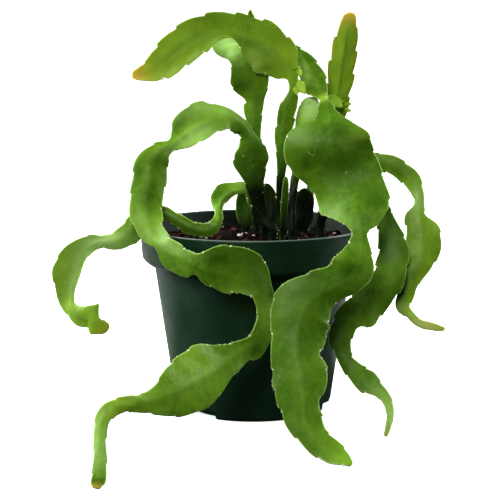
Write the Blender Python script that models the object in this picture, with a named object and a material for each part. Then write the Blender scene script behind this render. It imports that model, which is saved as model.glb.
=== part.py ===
"""An orchid cactus with curling flat stems in a round plastic nursery pot.

Metres, +Z up. The origin is the middle of the pot's flat base, where the pot stands on a surface.
The plant's fullest side faces -Y, and +X is to the right of someone who looks at that side.
The pot, the potting mix and each stem are separate solids. Every stem is a flat green blade with a
midrib, a notched margin and a round stalk, and each stalk stands in its own hole in the mix.
"""

import math
import random

import bmesh
import bpy
from mathutils import Matrix, Vector

MM = 0.001

# Pot, in millimetres.
POT_HEIGHT = 127.0
BASE_RADIUS = 53.5
WALL_TOP_RADIUS = 68.0
BAND_RADIUS = 76.5
LIP_RADIUS = 78.2
WALL_TOP_HEIGHT = 98.8
BAND_FOOT_HEIGHT = 106.5
WALL = 1.6
FLOOR = 2.4
BASE_CHAMFER = 3.0
POT_SEGMENTS = 48
FOOT_RECESSES = 3
RECESS_TURN = math.radians(-43.0)
RECESS_HALF_ANGLE = math.radians(15.0)
RECESS_WALL_ANGLE = math.radians(2.2)
RECESS_HEIGHT = 6.0
RECESS_RADIUS = 44.0
RECESS_STEPS = 6
DRAIN_HOLES = 6
DRAIN_HOLE_RADIUS = 4.0
DRAIN_HOLE_CIRCLE = 30.0

# Potting mix, in millimetres.
CLEARANCE = 0.3
MIX_GAP = 0.55
MIX_EDGE_HEIGHT = 114.0
MIX_CROWN = 3.0
MIX_LUMP = 0.9
MIX_RINGS = 7
MIX_SEGMENTS = 36
CHIPS = 18
CHIP_SEED = 13
CHIP_CIRCLE = 62.0
CHIP_LENGTHS = (8.0, 13.0)
CHIP_WIDTHS = (5.0, 7.0)
CHIP_HEIGHTS = (3.0, 4.5)
CHIP_TILT = 0.3
CHIP_ROUGHNESS = 0.13
CHIP_LIFT = 0.5
CHIP_FROM_STALK = 13.0
CHIP_FROM_CHIP = 15.0
HOLE_SEGMENTS = 14
HOLE_RADIUS = 3.7
MIX_CLEAR = 129.0

# Stems, in millimetres and degrees.
STALK_FOOT = 94.0
STALK_BEND = 118.0
STALK_HEAD = 125.0
STALK_HALF = 3.0
RIB_HALF = 1.35
WING_HALF = 0.9
MARGIN_HALF = 0.55
MARGIN_ROUND = 0.3
AREOLE_GAP = 16.5
STEPS_PER_AREOLE = 3
NOTCH_SHARE = 0.2
STALK_LENGTH = 28.0
STALK_BLEND = 16.0
TIP_BLEND = 30.0
CURVE_STEPS = 12
ACROSS = (-1.0, -0.5, 0.0, 0.5, 1.0)
TOWARDS_FRONT = Vector((0.0, -1.0, 0.0))

# Each stem's route from its stalk to its tip. A row holds the midrib's x, y and z, the width of the
# blade on the left and on the right of the way it grows, seen from the front, how many degrees the
# left margin is turned towards the front, and how far both margins bend to the front of the midrib.
STEMS = {
    "stem_left_long": (
        (5.5, -8, 134, 5.0, 5.0, 0, 0.0),
        (2, -8, 150, 5.2, 5.2, 0, 0.0),
        (0, -8, 162, 8.6, 8.6, 0, -1.5),
        (-1.4, -8, 172, 12.4, 12.4, 0, -3.0),
        (-1.4, -9, 181, 8.8, 9.8, 5, -3.0),
        (-3.4, -9, 189, 5.5, 6.0, 20, -3.0),
        (-6.8, -10, 196, 7.5, 6.2, 35, -3.0),
        (-15.5, -14, 202, 8.5, 8.4, 35, -2.0),
        (-25, -20, 200, 8.5, 17.5, 35, 0.0),
        (-36, -25, 196.5, 12.0, 17.5, 35, 1.0),
        (-46, -28, 190, 11.0, 14.0, 35, 1.0),
        (-54, -30, 185, 5.5, 4.2, 30, 0.0),
        (-62, -32, 181, 9.0, 7.0, 15, -1.0),
        (-67.4, -35, 173, 11.3, 11.0, 0, -3.0),
        (-68.8, -40, 161, 11.2, 11.8, 0, -3.5),
        (-71, -45, 149, 11.0, 11.0, 0, -3.0),
        (-70.8, -50, 140, 11.3, 10.6, 0, -2.0),
        (-67.5, -56, 130.5, 9.5, 8.5, 10, -1.0),
        (-61, -64, 123, 8.7, 5.4, 15, -1.0),
        (-55, -69, 119, 8.4, 12.6, 15, -1.5),
        (-40.7, -80, 114, 6.5, 11.7, 15, -1.5),
        (-35, -83, 111.8, 9.5, 7.0, 15, 0.0),
        (-29, -86, 110, 15.2, 10.5, 15, 1.0),
        (-16, -89, 107.5, 20.8, 12.8, 15, 2.0),
        (-3.8, -91, 103, 19.2, 8.8, 5, 2.0),
        (3.2, -91, 96, 9.8, 6.0, -10, 1.0),
        (5.4, -90, 86.5, 11.5, 4.6, -45, 0.0),
        (4.5, -90, 76, 14.0, 4.6, -50, 0.0),
        (0.6, -92, 66.4, 18.0, 4.8, -45, 0.0),
        (-6.4, -98, 60.5, 10.0, 6.2, -15, 0.0),
        (-17.8, -109, 54, 11.2, 12.8, 0, -1.0),
        (-25.2, -116.5, 50.8, 15.8, 18.8, 0, -1.5),
        (-33, -124, 47.5, 19.6, 20.0, 0, -2.0),
        (-48, -140, 43, 17.0, 15.5, 0, -2.0),
        (-62.8, -152, 40.4, 9.0, 5.8, 0, -1.0),
        (-75.4, -162, 40.4, 5.2, 5.2, 0, -0.5),
        (-85.5, -170, 38.8, 5.4, 5.4, 0, -0.5),
        (-90.4, -176, 31.8, 4.4, 4.4, 0, -0.5),
        (-90.7, -184, 21, 3.8, 3.8, 0, -0.5),
        (-90, -194, 10.5, 4.4, 4.4, 0, -0.3),
        (-90.4, -204, 4.4, 4.3, 4.3, 0, 0.0),
        (-90.8, -211, 2.6, 2.0, 2.0, 0, 0.0),
    ),
    "stem_left_outer": (
        (2, 24, 133, 3.2, 3.2, 0, 0.0),
        (0, 24, 141, 4.5, 4.5, 20, 0.0),
        (-4.6, 21, 148.8, 3.6, 5.4, 30, -0.5),
        (-10.8, 17, 148.8, 3.2, 7.0, 35, -1.2),
        (-16.3, 12, 147.2, 3.2, 10.6, 35, -1.6),
        (-20.8, 7, 144, 3.2, 9.6, 30, -1.4),
        (-23.1, 2, 140, 2.8, 5.6, 20, -0.8),
        (-24.1, -3, 135.5, 3.2, 2.4, 10, 0.0),
        (-24.7, -8, 130.6, 4.4, 3.2, 0, 0.0),
        (-28, -13, 126.6, 5.2, 4.4, 0, 0.0),
        (-35.6, -19.5, 126.2, 5.6, 4.2, 0, 0.0),
        (-43.4, -26, 129.6, 5.4, 4.2, 0, 0.0),
        (-51.8, -31, 135.4, 4.8, 3.8, 0, 0.0),
        (-60, -34, 140, 4.0, 4.0, 0, 0.0),
        (-69, -36, 139.5, 5.5, 5.5, 0, 0.0),
        (-76.2, -37, 134, 7.0, 7.0, 0, -0.5),
        (-83, -36, 126, 8.2, 7.4, 0, -1.0),
        (-91.3, -34, 120.7, 6.6, 6.4, 0, -1.0),
        (-101, -32, 119.4, 4.6, 4.6, 0, 0.0),
        (-109, -32, 116.3, 3.8, 9.0, 0, 1.0),
        (-115, -34, 108, 2.6, 14.5, 0, 2.0),
        (-118.6, -38, 96.5, 2.2, 16.8, 0, 2.0),
        (-121.5, -44, 84.6, 1.9, 10.4, 0, 1.0),
        (-120.5, -50, 78.4, 3.4, 6.0, 0, 0.0),
        (-115, -56, 74, 6.6, 7.2, 0, 0.0),
        (-108, -59, 72.6, 9.2, 6.4, 0, 0.0),
        (-106, -60, 71.9, 11.5, 8.0, 0, 0.0),
        (-103, -61, 70.6, 3.2, 9.8, 0, 0.0),
        (-98, -62, 67.6, 4.0, 6.0, 0, 0.0),
        (-94.8, -62, 66.2, 2.2, 2.2, 0, 0.0),
    ),
    "stem_crown_arch": (
        (18.8, 8, 142.7, 2.8, 2.8, 0, 0.0),
        (19.1, 8, 156.7, 2.8, 2.8, 0, 0.0),
        (20, 8, 170.6, 3.6, 3.6, 0, 0.0),
        (20, 8, 184.5, 5.2, 5.2, 0, -0.5),
        (21.4, 8, 198.3, 5.2, 7.4, 0, -0.5),
        (23.2, 8, 207.8, 4.6, 7.4, 0, -0.5),
        (27.0, 8, 217.4, 2.6, 4.4, 0, 0.0),
        (27, 8, 225, 3.0, 3.6, 0, 0.0),
        (26.1, 8, 230, 10.0, 5.5, 0, 0.0),
        (21, 6, 239.4, 16.5, 11.5, 0, 1.0),
        (14.3, 4, 246.2, 19.5, 14.0, 0, 1.0),
        (6.1, 1, 251.1, 18.0, 16.0, 0, 0.0),
        (-3.4, -3, 254.6, 12.5, 15.0, 0, 0.0),
        (-14.3, -7, 256.7, 1.8, 15.6, 0, 0.5),
        (-25.6, -11, 256.2, 4.5, 16.0, 0, 2.0),
        (-35.6, -14, 253, 9.0, 16.6, 0, 2.5),
        (-45.6, -17, 247, 9.5, 16.2, 0, 2.5),
        (-55.8, -20, 240, 10.0, 14.0, 0, 2.0),
        (-65.2, -22, 233.3, 7.6, 10.4, 0, 1.5),
        (-73.3, -24, 230.8, 3.8, 7.4, 0, 1.0),
        (-80.8, -25, 230.5, 2.4, 2.4, 0, 0.0),
    ),
    "stem_broad_front": (
        (6.3, 12, 132, 3.0, 3.0, 0, 0.0),
        (4.9, 12, 153, 3.0, 3.0, 0, 0.0),
        (2.8, 12, 170, 4.0, 4.0, 0, 0.0),
        (1.4, 12, 184, 5.0, 4.6, 0, 0.0),
        (0.7, 12, 194.5, 5.0, 5.0, 0, 0.0),
        (0.4, 12, 205, 6.9, 6.9, 0, -0.5),
        (0.9, 12, 212, 7.0, 7.0, 0, -0.5),
        (-0.7, 10, 220, 11.4, 12.6, 0, -1.0),
        (-4.1, 7, 228.4, 12.9, 14.5, 0, -1.0),
        (-8.9, 4, 237, 7.0, 8.6, 0, 0.0),
        (-13, 4, 243.7, 6.4, 7.4, 0, 0.0),
        (-17, 10, 249, 11.0, 8.5, 0, 0.0),
        (-14, 22, 253, 9.0, 9.0, -40, 0.0),
        (-5, 32, 254.5, 9.0, 9.0, -75, 0.0),
        (8, 38, 252, 9.0, 9.0, -75, 0.0),
        (23.9, 34, 245.6, 6.5, 9.0, -40, 0.0),
        (35.7, 24, 237.6, 6.5, 9.0, 0, -0.5),
        (42.4, 12, 227, 7.6, 9.4, 0, -0.5),
        (45.5, 2, 219.7, 6.0, 9.0, 0, 0.0),
        (47.9, -6, 213.6, 2.4, 2.6, 0, 0.0),
        (48.9, -15, 210.2, 4.4, 5.4, 0, 0.0),
        (50.2, -27, 204.2, 8.2, 9.0, 0, -0.5),
        (50.5, -36, 199.8, 17.0, 22.0, 0, -1.0),
        (50.9, -42, 194.3, 24.5, 29.5, 0, -2.5),
        (51.4, -45, 187.9, 26.5, 31.5, 0, -4.0),
        (52.6, -45, 181, 26.5, 31.5, 0, -5.0),
        (54.8, -43.5, 174, 26.5, 28.6, 0, -4.5),
        (57.6, -43, 166.7, 27.0, 22.4, 0, -4.0),
        (61.3, -45, 159.5, 25.8, 22.2, 0, -4.0),
        (64.5, -50, 152.8, 24.2, 22.8, 0, -4.0),
        (66.9, -56, 147, 23.4, 18.0, 0, -3.5),
        (68.6, -61, 141, 20.0, 12.6, 0, -2.0),
        (69.9, -64, 135.5, 13.0, 8.6, 0, -1.0),
        (70.4, -67, 130, 4.6, 6.0, 0, 0.0),
        (70.6, -72, 121.6, 5.8, 11.0, 0, 0.0),
        (68.5, -78, 112, 11.0, 15.6, 0, -1.0),
        (62.5, -83, 104.4, 11.6, 16.2, 0, -1.5),
        (53, -88, 99.4, 10.0, 13.8, 0, -2.0),
        (41.6, -92, 94.2, 16.0, 16.2, 0, -3.0),
        (32.5, -96, 85.3, 19.8, 21.0, 0, -4.0),
        (28, -101, 70, 19.0, 16.5, 0, -4.0),
        (27.3, -107, 58.4, 15.6, 16.2, 0, -4.0),
        (29.7, -114, 48.3, 17.6, 18.4, 0, -4.0),
        (30.8, -120, 40, 15.0, 17.9, 0, -3.5),
        (31.3, -126, 32.6, 10.4, 16.0, 0, -3.0),
        (31.7, -133, 24, 11.8, 12.4, -5, -2.0),
        (36.4, -140, 15.2, 9.5, 9.0, -15, -1.5),
        (42.5, -146, 9, 10.0, 7.4, -25, -1.0),
        (49.6, -153, 5.4, 9.0, 6.2, -40, -0.5),
        (55, -159, 3.8, 6.0, 3.4, -50, 0.0),
        (59.8, -163, 2.7, 1.8, 1.6, -60, 0.0),
    ),
    "stem_right_upright": (
        (37.5, 36, 136, 3.0, 3.0, 0, 0.0),
        (46, 36, 160.5, 4.0, 4.0, 0, 0.0),
        (54, 32, 186, 6.0, 6.0, 0, 0.0),
        (58.6, 28, 202, 6.0, 8.0, 10, -0.5),
        (59.3, 26, 213, 8.2, 8.2, 0, -0.5),
        (60.6, 24, 225, 9.5, 9.5, 0, -1.0),
        (62.3, 22, 239, 9.4, 9.4, 0, -1.0),
        (64.3, 20, 252.5, 8.4, 8.4, 0, -0.8),
        (65.8, 19, 262, 6.2, 6.2, 0, -0.5),
        (66.5, 18.6, 267.5, 4.8, 4.8, 0, 0.0),
        (66.9, 18.4, 271.6, 3.0, 3.0, 0, 0.0),
    ),
    "stem_centre_short": (
        (26.6, -2, 139, 2.8, 2.8, 0, 0.0),
        (28.4, 1, 154, 2.8, 2.8, 0, 0.0),
        (30.6, 3, 169, 3.5, 3.5, 0, 0.0),
        (33, 3, 183, 5.0, 5.0, -10, 0.0),
        (34.8, 3, 195.4, 6.5, 7.5, -20, 0.0),
        (36.5, 4, 204, 6.5, 9.5, -25, -0.5),
        (38.3, 6, 210.8, 5.5, 7.5, -25, 0.0),
        (38.4, 7, 214.2, 2.5, 3.5, -25, 0.0),
    ),
    "stem_right_outer": (
        (50, 14, 137, 3.4, 3.4, 0, 0.0),
        (58, 12, 154, 5.0, 5.0, 0, 0.0),
        (69, 8, 166.5, 6.5, 6.5, 0, 0.0),
        (81, 3, 171, 5.0, 6.0, 0, 0.0),
        (91.8, 0, 169.5, 6.2, 6.9, 0, -0.5),
        (101, -2, 165, 6.4, 6.4, 0, -0.5),
        (108, -4, 158.8, 6.5, 6.5, 0, -0.5),
        (112.8, -6, 150, 4.4, 4.4, 0, 0.0),
        (113.6, -8, 142, 3.6, 3.6, 0, 0.0),
        (113.4, -10, 134, 5.5, 9.7, 0, 0.0),
        (115, -13, 125, 12.3, 10.5, 0, -1.0),
        (116, -16, 114, 12.8, 12.0, 0, -1.5),
        (114.5, -19, 103.5, 9.2, 11.0, 0, -1.5),
        (109.8, -22, 93, 5.3, 9.0, 0, -1.0),
        (104.5, -24, 82.2, 5.5, 6.5, 0, 0.0),
        (102.5, -26, 74.4, 4.5, 5.5, 0, 0.0),
        (106.4, -29, 69, 3.0, 3.0, -20, 0.0),
        (112, -32, 64.3, 2.8, 2.8, -20, 0.0),
        (120.5, -36, 62.2, 2.7, 2.7, -10, 0.0),
        (129.5, -38, 61, 1.4, 1.4, 0, 0.0),
    ),
    "stem_right_inner": (
        (49, 0, 135, 3.4, 3.4, 0, 0.0),
        (60, -4, 147, 5.0, 5.0, 0, 0.0),
        (73, -8, 152, 6.5, 6.5, 0, 0.0),
        (84, -13, 145, 5.0, 6.5, 0, 0.0),
        (90, -15, 137, 4.5, 6.8, 0, 0.0),
        (93.4, -18, 128, 5.6, 9.5, 0, -0.5),
        (95, -22, 116.5, 10.4, 10.0, 0, -1.5),
        (94.7, -26, 104.7, 11.0, 11.3, 0, -1.5),
        (90.2, -32, 94, 12.6, 10.5, 0, -1.0),
        (81, -38, 85, 14.0, 9.0, 0, 0.0),
        (71, -45, 77, 16.0, 10.0, 0, 0.0),
        (62.5, -50, 68, 8.5, 9.5, 0, 0.0),
        (58.5, -54, 56.3, 7.5, 8.4, 0, 0.0),
        (59.5, -58, 46.2, 6.6, 4.0, 0, 0.0),
        (66.5, -63, 37.3, 7.0, 5.8, 0, 0.0),
        (75, -71, 32.3, 8.4, 8.0, 0, 0.0),
        (82.6, -80, 29, 4.4, 5.0, 0, 0.0),
        (87.6, -90, 23.5, 2.8, 3.6, 0, 0.0),
        (88.4, -98, 18, 2.2, 2.6, 0, 0.0),
        (86.6, -106, 12, 1.9, 1.9, 0, 0.0),
        (84, -112, 6.5, 1.1, 1.1, 0, 0.0),
    ),
    "stem_back_left": (
        (-4.6, 34, 121.8, 5.0, 5.0, 0, 0.0),
        (-4.8, 34.4, 128, 7.0, 6.2, 0, 0.0),
        (-5, 35, 135, 7.2, 6.2, 0, -0.5),
        (-5, 36, 141.5, 6.0, 6.0, 0, 0.0),
        (-3.5, 36, 147, 2.4, 2.4, 0, 0.0),
    ),
    "stem_back_middle": (
        (13.2, 30.4, 122.8, 4.6, 4.8, 0, 0.0),
        (12.6, 31, 130, 5.6, 5.8, 0, 0.0),
        (11.6, 32, 138, 6.0, 6.4, 0, -0.5),
        (9.8, 33, 146, 4.8, 5.0, 0, 0.0),
        (8.4, 33, 151.5, 1.8, 1.8, 0, 0.0),
    ),
    "stem_back_right": (
        (31.8, 22, 122.6, 5.4, 6.8, 0, 0.0),
        (33.2, 22, 128.5, 6.8, 8.8, 0, -0.5),
        (35, 22, 136, 8.0, 8.0, 0, -1.0),
        (36, 22, 144, 6.5, 6.5, 0, -0.5),
        (36, 21, 149.5, 2.0, 2.0, 0, 0.0),
    ),
    "stem_young_shoot": (
        (20.8, -11, 133, 2.0, 2.0, 0, 0.0),
        (21.6, -9, 144, 2.4, 2.4, 0, 0.0),
        (22.4, -8, 155, 2.0, 2.0, 0, 0.0),
        (22.2, -8, 161, 1.0, 1.0, 0, 0.0),
    ),
}

# Where each stalk stands in the mix: x and y.
STALKS = {
    "stem_left_long": (13, -9),
    "stem_left_outer": (2, 25),
    "stem_crown_arch": (21, 8),
    "stem_broad_front": (8, 12),
    "stem_right_upright": (36, 35),
    "stem_centre_short": (27, -3),
    "stem_right_outer": (46, 14),
    "stem_right_inner": (47, 3),
    "stem_back_left": (-5, 34),
    "stem_back_middle": (14, 30),
    "stem_back_right": (31, 22),
    "stem_young_shoot": (20, -14),
}

# How deep each stem's notches are, in millimetres.
NOTCHES = {
    "stem_left_long": 1.2,
    "stem_left_outer": 1.0,
    "stem_crown_arch": 1.9,
    "stem_broad_front": 1.2,
    "stem_right_upright": 1.9,
    "stem_centre_short": 0.8,
    "stem_right_outer": 1.4,
    "stem_right_inner": 1.7,
    "stem_back_left": 0.6,
    "stem_back_middle": 0.6,
    "stem_back_right": 0.6,
    "stem_young_shoot": 0.3,
}


def clear_scene():
    for obj in list(bpy.data.objects):
        bpy.data.objects.remove(obj)


def material(name, colour, roughness):
    """A plain Principled material."""
    made = bpy.data.materials.new(name)
    made.use_nodes = True
    shader = made.node_tree.nodes["Principled BSDF"]
    shader.inputs["Base Color"].default_value = (*colour, 1.0)
    shader.inputs["Roughness"].default_value = roughness
    shader.inputs["Metallic"].default_value = 0.0
    return made


def object_from(name, points, faces, finish):
    """One object from points in millimetres."""
    mesh = bpy.data.meshes.new(name)
    mesh.from_pydata([Vector(p) * MM for p in points], [], faces)
    mesh.update()
    mesh.materials.append(finish)
    obj = bpy.data.objects.new(name, mesh)
    bpy.context.scene.collection.objects.link(obj)
    return obj


def turned(name, profile, segments, finish):
    """A closed solid of revolution: profile is a loop of (radius, height), run outside upwards."""
    points, faces, rings = [], [], []
    for radius, height in profile:
        if radius == 0.0:
            rings.append([len(points)])
            points.append((0.0, 0.0, height))
            continue
        rings.append(list(range(len(points), len(points) + segments)))
        for i in range(segments):
            angle = 2.0 * math.pi * i / segments
            points.append((radius * math.sin(angle), -radius * math.cos(angle), height))
    for low, high in zip(rings, rings[1:] + rings[:1]):
        if len(low) == 1 and len(high) == 1:
            continue
        for i in range(segments):
            j = (i + 1) % segments
            if len(low) == 1:
                faces.append((low[0], high[j], high[i]))
            elif len(high) == 1:
                faces.append((low[i], low[j], high[0]))
            else:
                faces.append((low[i], low[j], high[j], high[i]))
    return object_from(name, points, faces, finish)


def shade_round(obj, degrees):
    obj.data.shade_smooth()
    obj.data.set_sharp_from_angle(angle=math.radians(degrees))


def apply_boolean(obj, others, operation):
    """Joins to obj, or cuts from it, a list of objects, which are then removed."""
    group = bpy.data.collections.new("boolean_group")
    bpy.context.scene.collection.children.link(group)
    for other in others:
        bpy.context.scene.collection.objects.unlink(other)
        group.objects.link(other)
    step = obj.modifiers.new("boolean", "BOOLEAN")
    step.operation = operation
    step.solver = "EXACT"
    step.operand_type = "COLLECTION"
    step.collection = group
    graph = bpy.context.evaluated_depsgraph_get()
    joined = bpy.data.meshes.new_from_object(obj.evaluated_get(graph))
    obj.modifiers.clear()
    obj.data = joined
    for other in others:
        bpy.data.objects.remove(other)
    bpy.data.collections.remove(group)


def wall_radius(height):
    """The pot's outer radius at a height."""
    if height < WALL_TOP_HEIGHT:
        return BASE_RADIUS + (WALL_TOP_RADIUS - BASE_RADIUS) * height / WALL_TOP_HEIGHT
    if height < BAND_FOOT_HEIGHT:
        share = (height - WALL_TOP_HEIGHT) / (BAND_FOOT_HEIGHT - WALL_TOP_HEIGHT)
        return WALL_TOP_RADIUS + (BAND_RADIUS - WALL_TOP_RADIUS) * math.sin(share * math.pi / 2)
    share = (height - BAND_FOOT_HEIGHT) / (POT_HEIGHT - BAND_FOOT_HEIGHT)
    return BAND_RADIUS + (LIP_RADIUS - BAND_RADIUS) * share


def shoulder_heights():
    """Heights at which the wall bends out into the band."""
    rise = BAND_FOOT_HEIGHT - WALL_TOP_HEIGHT
    return [WALL_TOP_HEIGHT + rise * share for share in (0.0, 0.35, 0.7, 1.0)]


def wall_inside():
    """The pot's inner wall from its floor to the foot of the band: pairs of radius and height."""
    bend = [(wall_radius(h) - WALL, h + WALL / 2) for h in shoulder_heights()]
    return [(wall_radius(FLOOR) - WALL, FLOOR)] + bend


def make_pot(finish):
    """The moulded pot: a tapered wall, a flared band under the lip, and drain slots at the foot."""
    heights = [BASE_CHAMFER] + shoulder_heights() + [POT_HEIGHT - WALL / 2]
    profile = [(0.0, 0.0), (BASE_RADIUS - BASE_CHAMFER, 0.0)]
    profile += [(wall_radius(h), h) for h in heights]
    profile += [(LIP_RADIUS - WALL / 2, POT_HEIGHT), (LIP_RADIUS - WALL, POT_HEIGHT - WALL / 2)]
    profile += wall_inside()[::-1]
    profile += [(0.0, FLOOR)]
    pot = turned("pot", profile, POT_SEGMENTS, finish)
    roof = RECESS_HEIGHT + WALL
    linings = recess_blocks(RECESS_RADIUS - WALL, -WALL / 2, FLOOR / 2, roof, RECESS_WALL_ANGLE, finish)
    apply_boolean(pot, linings, "UNION")
    cutters = recess_blocks(RECESS_RADIUS, WALL, -FLOOR, RECESS_HEIGHT, 0.0, finish)
    for i in range(DRAIN_HOLES):
        angle = 2.0 * math.pi * i / DRAIN_HOLES
        x, y = DRAIN_HOLE_CIRCLE * math.sin(angle), -DRAIN_HOLE_CIRCLE * math.cos(angle)
        cutters.append(round_cutter(x, y, DRAIN_HOLE_RADIUS, -FLOOR, 2.0 * FLOOR, finish))
    apply_boolean(pot, cutters, "DIFFERENCE")
    shade_round(pot, 30.0)
    return pot


def recess_blocks(inner, outwards, foot, roof, widen, finish):
    """Curved blocks at the pot's foot, each from an inner radius to a distance out from the wall."""
    half = RECESS_HALF_ANGLE + widen
    blocks = []
    for n in range(FOOT_RECESSES):
        middle = RECESS_TURN + 2.0 * math.pi * n / FOOT_RECESSES
        points, faces = [], []
        for i in range(RECESS_STEPS + 1):
            angle = middle + half * (2.0 * i / RECESS_STEPS - 1.0)
            for height in (foot, roof):
                outer = wall_radius(max(height, 0.0)) + outwards
                for radius in (inner, outer):
                    points.append((radius * math.sin(angle), -radius * math.cos(angle), height))
        for i in range(RECESS_STEPS):
            a, b = 4 * i, 4 * (i + 1)
            faces += [(a, b, b + 1, a + 1), (a + 1, b + 1, b + 3, a + 3)]
            faces += [(a + 3, b + 3, b + 2, a + 2), (a + 2, b + 2, b, a)]
        last = 4 * RECESS_STEPS
        faces += [(0, 1, 3, 2), (last, last + 2, last + 3, last + 1)]
        blocks.append(object_from("recess_block", points, faces, finish))
    return blocks


def mix_height(x, y):
    """The lumpy top of the potting mix."""
    radius = math.hypot(x, y)
    crown = MIX_CROWN * (1.0 - (radius / BAND_RADIUS) ** 2)
    lumps = math.sin(x * 0.31 + 1.0) * math.cos(y * 0.27) + math.sin((x + y) * 0.53) * 0.6
    return MIX_EDGE_HEIGHT + crown + MIX_LUMP * lumps


def make_mix(finish):
    """The potting mix that fills the pot, with bark chips in its top and a hole for each stalk."""
    sides = [(radius - MIX_GAP, height + CLEARANCE) for radius, height in wall_inside()]
    points, faces, rings = [], [], []
    for radius, height in sides:
        rings.append(len(points))
        for i in range(MIX_SEGMENTS):
            angle = 2.0 * math.pi * i / MIX_SEGMENTS
            points.append((radius * math.sin(angle), -radius * math.cos(angle), height))
    edge = sides[-1][0]
    for ring in range(MIX_RINGS):
        radius = edge * (1.0 - ring / MIX_RINGS)
        rings.append(len(points))
        for i in range(MIX_SEGMENTS):
            angle = 2.0 * math.pi * i / MIX_SEGMENTS
            x, y = radius * math.sin(angle), -radius * math.cos(angle)
            points.append((x, y, mix_height(x, y)))
    for low, high in zip(rings, rings[1:]):
        for i in range(MIX_SEGMENTS):
            j = (i + 1) % MIX_SEGMENTS
            faces.append((low + i, low + j, high + j, high + i))
    top = len(points)
    points.append((0.0, 0.0, mix_height(0.0, 0.0)))
    for i in range(MIX_SEGMENTS):
        faces.append((rings[-1] + i, rings[-1] + (i + 1) % MIX_SEGMENTS, top))
    faces.append(tuple(range(rings[0] + MIX_SEGMENTS - 1, rings[0] - 1, -1)))
    mix = object_from("potting_mix", points, faces, finish)
    apply_boolean(mix, list(bark_chips(finish)), "UNION")
    gap_angle = RECESS_WALL_ANGLE + math.radians(0.6)
    roof = RECESS_HEIGHT + WALL + CLEARANCE
    holes = recess_blocks(RECESS_RADIUS - WALL - CLEARANCE, 0.0, -FLOOR, roof, gap_angle, finish)
    for x, y in STALKS.values():
        holes.append(round_cutter(x, y, HOLE_RADIUS, STALK_FOOT - CLEARANCE, MIX_CLEAR, finish))
    apply_boolean(mix, holes, "DIFFERENCE")
    return mix


def bark_chips(finish):
    """Rough blocks of bark, half sunk in the top of the mix, away from the stalks and each other."""
    draw = random.Random(CHIP_SEED)
    placed = []
    while len(placed) < CHIPS:
        radius = CHIP_CIRCLE * math.sqrt(draw.random())
        angle = draw.uniform(0.0, 2.0 * math.pi)
        x, y = radius * math.sin(angle), -radius * math.cos(angle)
        near_stalk = min(math.hypot(x - sx, y - sy) for sx, sy in STALKS.values())
        near_chip = min((math.hypot(x - cx, y - cy) for cx, cy in placed), default=CHIP_FROM_CHIP)
        length = draw.uniform(*CHIP_LENGTHS)
        width = draw.uniform(*CHIP_WIDTHS)
        height = draw.uniform(*CHIP_HEIGHTS)
        spin, tilt = draw.uniform(0.0, math.pi), draw.uniform(-CHIP_TILT, CHIP_TILT)
        if near_stalk < CHIP_FROM_STALK or near_chip < CHIP_FROM_CHIP:
            continue
        placed.append((x, y))
        bm = bmesh.new()
        bmesh.ops.create_cube(bm, size=1.0)
        for vert in bm.verts:
            vert.co += Vector([draw.uniform(-CHIP_ROUGHNESS, CHIP_ROUGHNESS) for _ in range(3)])
        size = Matrix.Diagonal((length * MM, width * MM, height * MM, 1.0))
        turn = Matrix.Rotation(spin, 4, "Z") @ Matrix.Rotation(tilt, 4, "X")
        place = Matrix.Translation(Vector((x, y, mix_height(x, y) + CHIP_LIFT)) * MM)
        bm.transform(place @ turn @ size)
        mesh = bpy.data.meshes.new("bark_chip")
        bm.to_mesh(mesh)
        bm.free()
        mesh.materials.append(finish)
        chip = bpy.data.objects.new("bark_chip", mesh)
        bpy.context.scene.collection.objects.link(chip)
        yield chip


def round_cutter(x, y, radius, foot, roof, finish):
    """An upright cylinder."""
    points, faces = [], []
    for height in (foot, roof):
        for i in range(HOLE_SEGMENTS):
            angle = 2.0 * math.pi * i / HOLE_SEGMENTS
            points.append((x + radius * math.cos(angle), y + radius * math.sin(angle), height))
    for i in range(HOLE_SEGMENTS):
        j = (i + 1) % HOLE_SEGMENTS
        faces.append((i, j, HOLE_SEGMENTS + j, HOLE_SEGMENTS + i))
    faces.append(tuple(reversed(range(HOLE_SEGMENTS))))
    faces.append(tuple(range(HOLE_SEGMENTS, 2 * HOLE_SEGMENTS)))
    return object_from("round_cutter", points, faces, finish)


def eased(share):
    share = min(1.0, max(0.0, share))
    return share * share * (3.0 - 2.0 * share)


def between(rows, i, share):
    """A smooth curve through the rows: the value a share of the way from row i to row i + 1."""
    before, start = rows[max(i - 1, 0)], rows[i]
    end, after = rows[i + 1], rows[min(i + 2, len(rows) - 1)]
    s2, s3 = share * share, share * share * share
    return [
        0.5 * ((2 * q) + (r - p) * share + (2 * p - 5 * q + 4 * r - s) * s2 + (3 * q - p - 3 * r + s) * s3)
        for p, q, r, s in zip(before, start, end, after)
    ]


def stem_rows(name):
    """The stem's route with its stalk, which is upright where it stands in the mix."""
    x, y = STALKS[name]
    half = min(STALK_HALF, STEMS[name][0][3])
    lowest = STEMS[name][0][2]
    heights = [height for height in (STALK_FOOT, STALK_BEND, STALK_HEAD) if height < lowest]
    return [(x, y, height, half, half, 0, 0.0) for height in heights] + list(STEMS[name])


def across_at(rows, i):
    """The way from the midrib to the left margin at a row of the route."""
    ahead = Vector(rows[min(i + 1, len(rows) - 1)][:3]) - Vector(rows[max(i - 1, 0)][:3])
    ahead.normalize()
    flat = TOWARDS_FRONT.cross(ahead).normalized()
    return Matrix.Rotation(math.radians(rows[i][5]), 3, ahead) @ flat


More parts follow.
